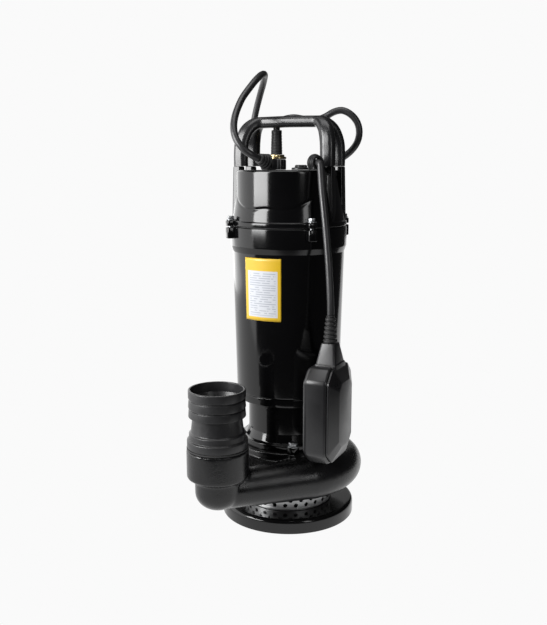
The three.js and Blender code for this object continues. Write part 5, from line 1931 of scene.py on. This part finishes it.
@dataclass
class CordGroup:
    """The power cord with its coil and plug, and the float cord.

    power_length is the cord's length in metres and is not used; the drawn route is about 2.5 % shorter.
    """

    radius: float = 4.25
    coil_x: float = -60.0
    coil_y: float = 182.0
    turn_radius: float = 56.0
    across: int = 5
    layers: int = 3
    turn_points: int = 24
    floor: float = 0.35
    power_length: float = 6.6

    def build(self) -> None:
        """Makes both cords, the coil's tie and the plug."""
        pieces = self._plug()
        pieces += self._ties()
        self._power()
        self._float()

    def _coil(self) -> list[Vector]:
        """The turns: in, out and in again, layer on layer, and a last turn that rises to the plug.

        Returns:
            The points of the turns.
        """
        pitch = 2 * self.radius
        points: list[Vector] = []
        turns = self.across * self.layers
        for i in range(turns * self.turn_points + 1):
            done = i / self.turn_points
            layer = min(int(done / self.across), self.layers - 1)
            within = done - layer * self.across
            slot = min(within, self.across - 1.0)
            place = slot if layer % 2 else self.across - 1 - slot
            climb = max(0.0, min(1.0, (within - self.across + 1.0))) if layer < self.layers - 1 else 0.0
            z = self.floor + self.radius + pitch * (layer + climb)
            reach = self.turn_radius + (place - (self.across - 1) / 2) * pitch
            points.append(polar(reach, 180 - 360 * done, z) + Vector((self.coil_x, self.coil_y, 0)))
        last, end = points[-1], Vector(TAIL_ROUTE[0])
        centre = Vector((self.coil_x, self.coil_y, 0))
        near, far = (last - centre).xy.length, (end - centre).xy.length
        sweep = 180 - math.degrees(math.atan2((end - centre).y, (end - centre).x)) + 360
        steps = round(self.turn_points * sweep / 360)
        over = self.floor + self.radius + pitch * self.layers
        for i in range(1, steps):
            share = i / steps
            ease = share * share * (3 - 2 * share)
            rise = min(1.0, share * 3.2)
            rise = rise * rise * (3 - 2 * rise)
            late = max(0.0, share - 0.9) / 0.1
            z = last.z + (over - last.z) * rise + (end.z - over) * late
            points.append(polar(near + (far - near) * ease, 180 - sweep * share, z) + centre)
        return points

    def _power(self) -> None:
        """The power cord as one tube from its boot to the plug.
        """
        start = smooth_path(POWER_ROUTE, 5.0)
        entry = [Vector(POWER_ROUTE[-1]), *self._coil(), *[Vector(p) for p in TAIL_ROUTE]]
        path = start + smooth_path(entry, 9.0)[1:]
        cord = tube(path, self.radius, 12).mesh("power_cable")
        fit(cord, CORD_JACKET, ["power_cord", "power_cord_coil", "power_cord_tail"])
        LOG.info("power cable is %.2f m long", path_length(path))

    def _float(self) -> None:
        """The float cord as one tube along a fixed route from the pump to the float."""
        path = smooth_path(FLOAT_ROUTE + HANG_ROUTE, 3.5)
        cord = tube(path, self.radius, 16).mesh("float_cable")
        cord.data.materials.append(CORD_JACKET.material())
        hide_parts("float_cord", "float_cord_lower")
        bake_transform(cord)

    def _ties(self) -> list[Object]:
        """Two rubber ties round the coil's bundle of turns.

        Returns:
            The ties.
        """
        made: list[Object] = []
        half, height = self.across * self.radius + 1.4, self.layers * 2 * self.radius
        low, high = self.floor - 0.2, height + 1.6
        corners = [(half, low, 5), (half, high, 5), (-half, high, 5), (-half, low, 5)]
        plan = rounded(corners, closed=True)
        for k, angle in enumerate((250.0, 20.0)):
            hub = polar(self.turn_radius, angle) + Vector((self.coil_x, self.coil_y, 0))
            outward, heart = polar(1, angle), hub + Vector((0, 0, height / 2))
            along = Vector((-outward.y, outward.x, 0))
            loop = [hub + outward * x + Vector((0, 0, z + 0.4)) for x, z in plan]
            rings: list[Ring] = []
            for side, thick in ((-4.0, 0.0), (-4.0, 0.9), (4.0, 0.9), (4.0, 0.0)):
                rings.append([p + along * side + (p - heart).normalized() * thick for p in loop])
            tie = loft(rings, capped=False, looped=True).mesh(f"coil_tie_{k + 1}")
            made.append(fit(tie, RUBBER))
        return made

    def _relief(self) -> list[tuple[float, float]]:
        """The plug's ribbed relief, as a share of its length and a radius for each section.

        Returns:
            The sections, in order.
        """
        sections = [(0.0, 6.2)]
        ribs = 5
        for k in range(ribs):
            along = (k + 0.5) / ribs
            size = 6.2 + 4.6 * along
            sections += [(along - 0.06, size), (along - 0.02, size - 0.9), (along + 0.06, size - 0.9),
                         (along + 0.1, size + 0.3)]
        return sections

    def _plug(self) -> list[Object]:
        """The moulded plug with its grip ribs and relief, and its brass pins.

        Returns:
            The pieces of the plug.
        """
        low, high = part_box("plug_body")
        y, z = (low.y + high.y) / 2 / MM, (low.z + high.z) / 2 / MM
        half_y, half_z = (high.y - low.y) / 2 / MM, (high.z - low.z) / 2 / MM
        rear, relief = low.x / MM, 17.5
        head_rear = rear + relief
        length = high.x / MM - head_rear
        sections = []
        for share, size in self._relief():
            sections.append((rear + share * relief, superellipse(size, size, 2.0, 48)))
        outline = ((0.0, 0.62), (0.06, 0.8), (0.18, 0.93), (0.35, 1.0), (0.55, 0.95), (0.75, 0.92),
                   (0.96, 0.97), (0.99, 0.95), (1.0, 0.9))
        for share, size in outline:
            sections.append((head_rear + share * length, superellipse(half_z * size, half_y * size, 2.7, 48)))
        shell = loft([[Vector((x, y + b, z + a)) for a, b in plan] for x, plan in sections])
        bar = prism(oblong(1.0, 6, 0.9), 0, 1.6, 0.6)
        for side in (1, -1):
            leaning = bar.moved(Matrix.Rotation(side * math.pi / 2, 4, "X"))
            for k in range(4):
                shell.add(leaning.at(head_rear + 13 + 5 * k, y - side * half_y * 0.88, z))
        plug = fit(shell.mesh("plug_shell", 40), RUBBER, ["plug_body"])
        return [plug, self._pin("left"), self._pin("right")]

    def _pin(self, side: str) -> Object:
        """One round brass pin of the plug.

        Args:
            side: left or right.

        Returns:
            The pin.
        """
        node = f"plug_pin_{side}"
        low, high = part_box(node)
        radius, reach = (high.z - low.z) / 2 / MM, (high.x - low.x) / MM
        start = Vector((low.x, (low.y + high.y) / 2, (low.z + high.z) / 2)) / MM
        pin = turned_solid([(0, 0, 0), (radius, 0, 0.2), (radius, reach, 1.6), (0, reach, 0)], 32, 4)
        return fit(pin.aimed(start, Vector((1, 0, 0))).mesh(f"pin_{side}"), BRASS, [node])


# ---------------------------------------------------------------- float switch


@dataclass
class FloatGroup:
    """The float: a body and a lid that meet on one seam, and the ribbed boot on its neck."""

    x: float = 82.0
    y: float = -63.0
    thickness: float = 41.0
    width: float = 80.0
    bottom: float = 103.5
    height: float = 115.5
    corner: float = 14.0
    bevel: float = 9.0
    lid: float = 10.0
    facet: float = 19.0
    neck_height: float = 25.5
    seam: float = 0.9

    def build(self) -> None:
        """Makes the body, the lid and the boot."""
        self._half("float_case", "float_body", is_lid=False)
        self._half("float_cover", "float_lid", is_lid=True)
        self._boot()

    def _plan(self, pull: float) -> Outline:
        """The float's outline in Y and Z with soft corners, pulled in by an amount.

        Args:
            pull: how far each side moves in.

        Returns:
            The outline.
        """
        half, low, high = self.width / 2 - pull, self.bottom + pull, self.bottom + self.height - pull
        cut, soft = self.corner - pull * 0.3, 9.0 - pull * 0.4
        corners = [
            (half, low + cut), (half, high - cut), (half - cut, high), (-half + cut, high),
            (-half, high - cut), (-half, low + cut), (-half + cut, low), (half - cut, low),
        ]
        return rounded([(y, z, soft) for y, z in corners], closed=True, steps=5)

    def _neck_plan(self, share: float, pull: float) -> Outline:
        """The neck's outline in X and Y at a share of its height.

        Args:
            share: the height, from 0 at the foot to 1 at the top.
            pull: how far each side moves in.

        Returns:
            The outline.
        """
        half_x = 12.5 + (8.6 - 12.5) * share - pull
        half_y = 17.0 + (8.8 - 17.0) * share - pull
        return oblong(half_x, half_y, 3.0, 4)

    def _half(self, name: str, node: str, is_lid: bool) -> None:
        """One of the two halves, a closed block with its side of the seam.

        Args:
            name: the piece's name.
            node: the CAD node that it stands for.
            is_lid: True for the thin half on +X.
        """
        half = self.thickness / 2
        split = half - self.lid
        lap, steps = 3.4, 6
        if is_lid:
            rows = [(split + 0.15, lap), (split + 0.15, 2.2 + self.seam), (split + 0.5, 2.2),
                    (split + 2.2, 2.2), (split + 2.6, 2.5), (half - 0.3, self.facet - 0.6),
                    (half, self.facet + 0.4)]
        else:
            leans = [math.pi / 2 * step / steps for step in range(steps + 1)]
            rows = [(-half + self.bevel * (1 - math.cos(a)), self.bevel * (1 - math.sin(a))) for a in leans]
            rows += [(split - 3.5, 0.0), (split - 2.6, 0.2), (split - 0.6, 1.2), (split - 0.25, 1.5),
                     (split - 0.15, 1.5 + self.seam), (split - 0.15, lap)]
        shell = loft([[Vector((self.x + x, self.y + y, z)) for y, z in self._plan(pull)] for x, pull in rows])
        if not is_lid:
            shell.add(self._neck())
        fit(shell.mesh(name, 28), FLOAT_NYLON, [node], Body.FLOAT)

    def _neck(self) -> Shell:
        """The four-sided neck that carries the boot.

        Returns:
            The neck's closed skin.
        """
        shoulder = self.bottom + self.height
        foot, top = shoulder - 6, shoulder + self.neck_height
        rows = ((foot, 0.0, -1.5), (foot + 7.2, 0.1, -1.0), (foot + 8.5, 0.12, 0.0), (top - 1.2, 0.97, 0.0),
                (top - 0.3, 1.0, 0.3), (top, 1.0, 1.0))
        rings: list[Ring] = []
        for z, share, pull in rows:
            rings.append([Vector((self.x + a, self.y + b, z)) for a, b in self._neck_plan(share, pull)])
        return loft(rings)

    def _boot(self) -> None:
        """The corrugated rubber boot round the cord."""
        foot, top = span("float_boot")
        ribs, groove = 6, 1.7
        pitch = (top - foot - 1) / ribs
        corners: list[Corner] = [(0, foot, 0), (8.0, foot, 0.4)]
        for k in range(ribs):
            radius, z = 8.3 - 2.0 * k / (ribs - 1), foot + pitch * k
            corners += [(radius, z + pitch * 0.12, 0.6), (radius, z + pitch * 0.58, 0.7),
                        (radius - groove, z + pitch * 0.72, 0.4), (radius - groove, z + pitch * 0.95, 0.4)]
        corners += [(5.4, top - 0.8, 0.4), (4.8, top, 0.4), (0, top, 0)]
        boot = turned_solid(corners, 48, 3).at(self.x, self.y)
        fit(boot.mesh("float_relief", 50), RUBBER, ["float_boot"], Body.FLOAT)


# ---------------------------------------------------------------- inner pieces


INNER_FINISHES: dict[str, Finish] = {
    "base_post_1": ZINC, "base_post_2": ZINC, "base_post_3": ZINC,
    "impeller": IRON, "impeller_nut": ZINC, "shaft_seal_head": IRON, "shaft_seal_seat": CERAMIC,
    "shaft": ZINC, "rotor_core": LAMINATIONS, "stator_core": LAMINATIONS,
    "lower_winding": COPPER, "upper_winding": COPPER, "lower_bearing": ZINC, "upper_bearing": ZINC,
    "upper_bracket": IRON, "run_capacitor": GREY_PLASTIC, "terminal_block": GREY_PLASTIC,
    "micro_switch": GREY_PLASTIC, "switch_ball": ZINC,
}


def dress_inner_pieces() -> None:
    """Gives each CAD node that stays its procedural finish."""
    for name, finish in INNER_FINISHES.items():
        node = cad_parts[name]
        node.data.materials.clear()
        node.data.materials.append(finish.material())
        LOG.info("%s keeps its CAD shape, %s", name, finish.name)


# ---------------------------------------------------------------- studio


BACKDROP: Colour = (0.956, 0.956, 0.956)
SURROUNDINGS: Colour = (0.03, 0.03, 0.031)


@dataclass
class Studio:
    """The camera, the pale floor and the soft lights.

    A bearing is in degrees from the camera's side of the pump, and grows to the camera's left.
    """

    place: tuple[float, float, float] = (0.4096, -0.9234, 0.447)
    pitch: float = 79.7
    azimuth: float = 25.0
    lens: float = 46.08
    sensor: float = 36.0

    def camera(self) -> None:
        """Makes the camera."""
        data = bpy.data.cameras.new("camera")
        data.lens = self.lens
        data.sensor_width = self.sensor
        data.clip_start = 0.01
        camera = placed("camera", data)
        camera.location = self.place
        camera.rotation_euler = (math.radians(self.pitch), 0.0, math.radians(self.azimuth))
        bpy.context.scene.camera = camera

    def light(self) -> None:
        """Makes the floor, the surroundings and the soft boxes."""
        self._floor()
        self._world()
        self._panel("side_wall", 122.0, 1.6, -0.6, 1.4, 3.8, 1.7)
        self._panel("high_box", 59.0, 1.25, 0.33, 1.35, 0.66, 14.0)
        self._panel("right_box", -35.0, 1.4, 0.46, 1.4, 0.25, 3.4)
        self._panel("back_wall", 180.0, 2.6, 0.15, 1.4, 2.4, 0.35)
        self._overhead()

    def _floor(self) -> None:
        """A pale floor under and behind the pump, wide where the camera sees far."""
        turn = Matrix.Rotation(math.radians(self.azimuth), 4, "Z")
        plan = [(-0.5, -0.42), (0.5, -0.42), (0.55, 0.1), (2.6, 4.0), (-3.4, 4.0), (-1.3, 0.1)]
        data = bpy.data.meshes.new("floor")
        data.from_pydata([turn @ Vector((x, y, -0.0004)) for x, y in plan], [], [tuple(range(len(plan)))])
        material, _, shader = new_material("pale_floor")
        set_values(shader, {
            "Base Color": (0.0, 0.0, 0.0, 1.0), "Specular IOR Level": 0.0, "Roughness": 1.0,
            "Emission Color": (*BACKDROP, 1.0), "Emission Strength": 1.0,
        })
        data.materials.append(material)
        placed("floor", data)

    def _world(self) -> None:
        """A white backdrop for the camera over dim surroundings."""
        world = bpy.data.worlds.new("studio")
        world.use_nodes = True
        tree = world.node_tree
        seen = tree.nodes.new("ShaderNodeLightPath").outputs["Is Camera Ray"]
        tree.links.new(mixed(tree, seen, SURROUNDINGS, BACKDROP), tree.nodes["Background"].inputs["Color"])
        bpy.context.scene.world = world
        bpy.context.scene.view_settings.view_transform = "Standard"

    def _soft_box(self, name: str, wide: float, tall: float, radiance: float) -> Object:
        """A rectangular lamp that the camera doesn't see, with a brightness for its face.

        Args:
            name: its name.
            wide: its width in metres.
            tall: its height in metres.
            radiance: how bright its face is.

        Returns:
            The lamp.
        """
        data = bpy.data.lights.new(name, "AREA")
        data.shape = "RECTANGLE"
        data.size, data.size_y = wide, tall
        data.energy = radiance * math.pi * wide * tall
        lamp = placed(name, data)
        lamp.visible_camera = False
        return lamp

    def _overhead(self) -> None:
        """A soft box above the pump, which faces straight down."""
        self._soft_box("overhead", 1.1, 0.8, 2.6).location = (0.0, -0.3, 1.7)

    def _panel(self, name: str, bearing: float, distance: float, low: float, high: float, wide: float,
               radiance: float) -> None:
        """One upright soft box that faces the pump's axis.

        Args:
            name: its name.
            bearing: its direction from the pump.
            distance: its distance from the axis in metres.
            low: its lower edge in metres.
            high: its upper edge in metres.
            wide: its width in metres.
            radiance: how bright its face is.
        """
        angle = math.atan2(self.place[1], self.place[0]) - math.radians(bearing)
        outward = Vector((math.cos(angle), math.sin(angle), 0.0))
        lamp = self._soft_box(name, wide, high - low, radiance)
        lamp.location = outward * distance + Vector((0, 0, (low + high) / 2))
        lamp.rotation_euler = (-outward).to_track_quat("-Z", "Y").to_euler()


def main() -> None:
    """Builds the pump, sub-assembly by sub-assembly, and the studio round it."""
    studio = Studio()
    studio.camera()
    for group in (
        CordGroup(), BaseGroup(), CasingGroup(), NeckGroup(), MotorGroup(), CoverGroup(), HandleGroup(),
        GlandGroup(), FloatGroup(),
    ):
        LOG.info("building %s", type(group).__name__)
        group.build()
    dress_inner_pieces()
    studio.light()


if __name__ == "__main__":
    logging.basicConfig(level=logging.INFO, format="%(message)s")
    main()
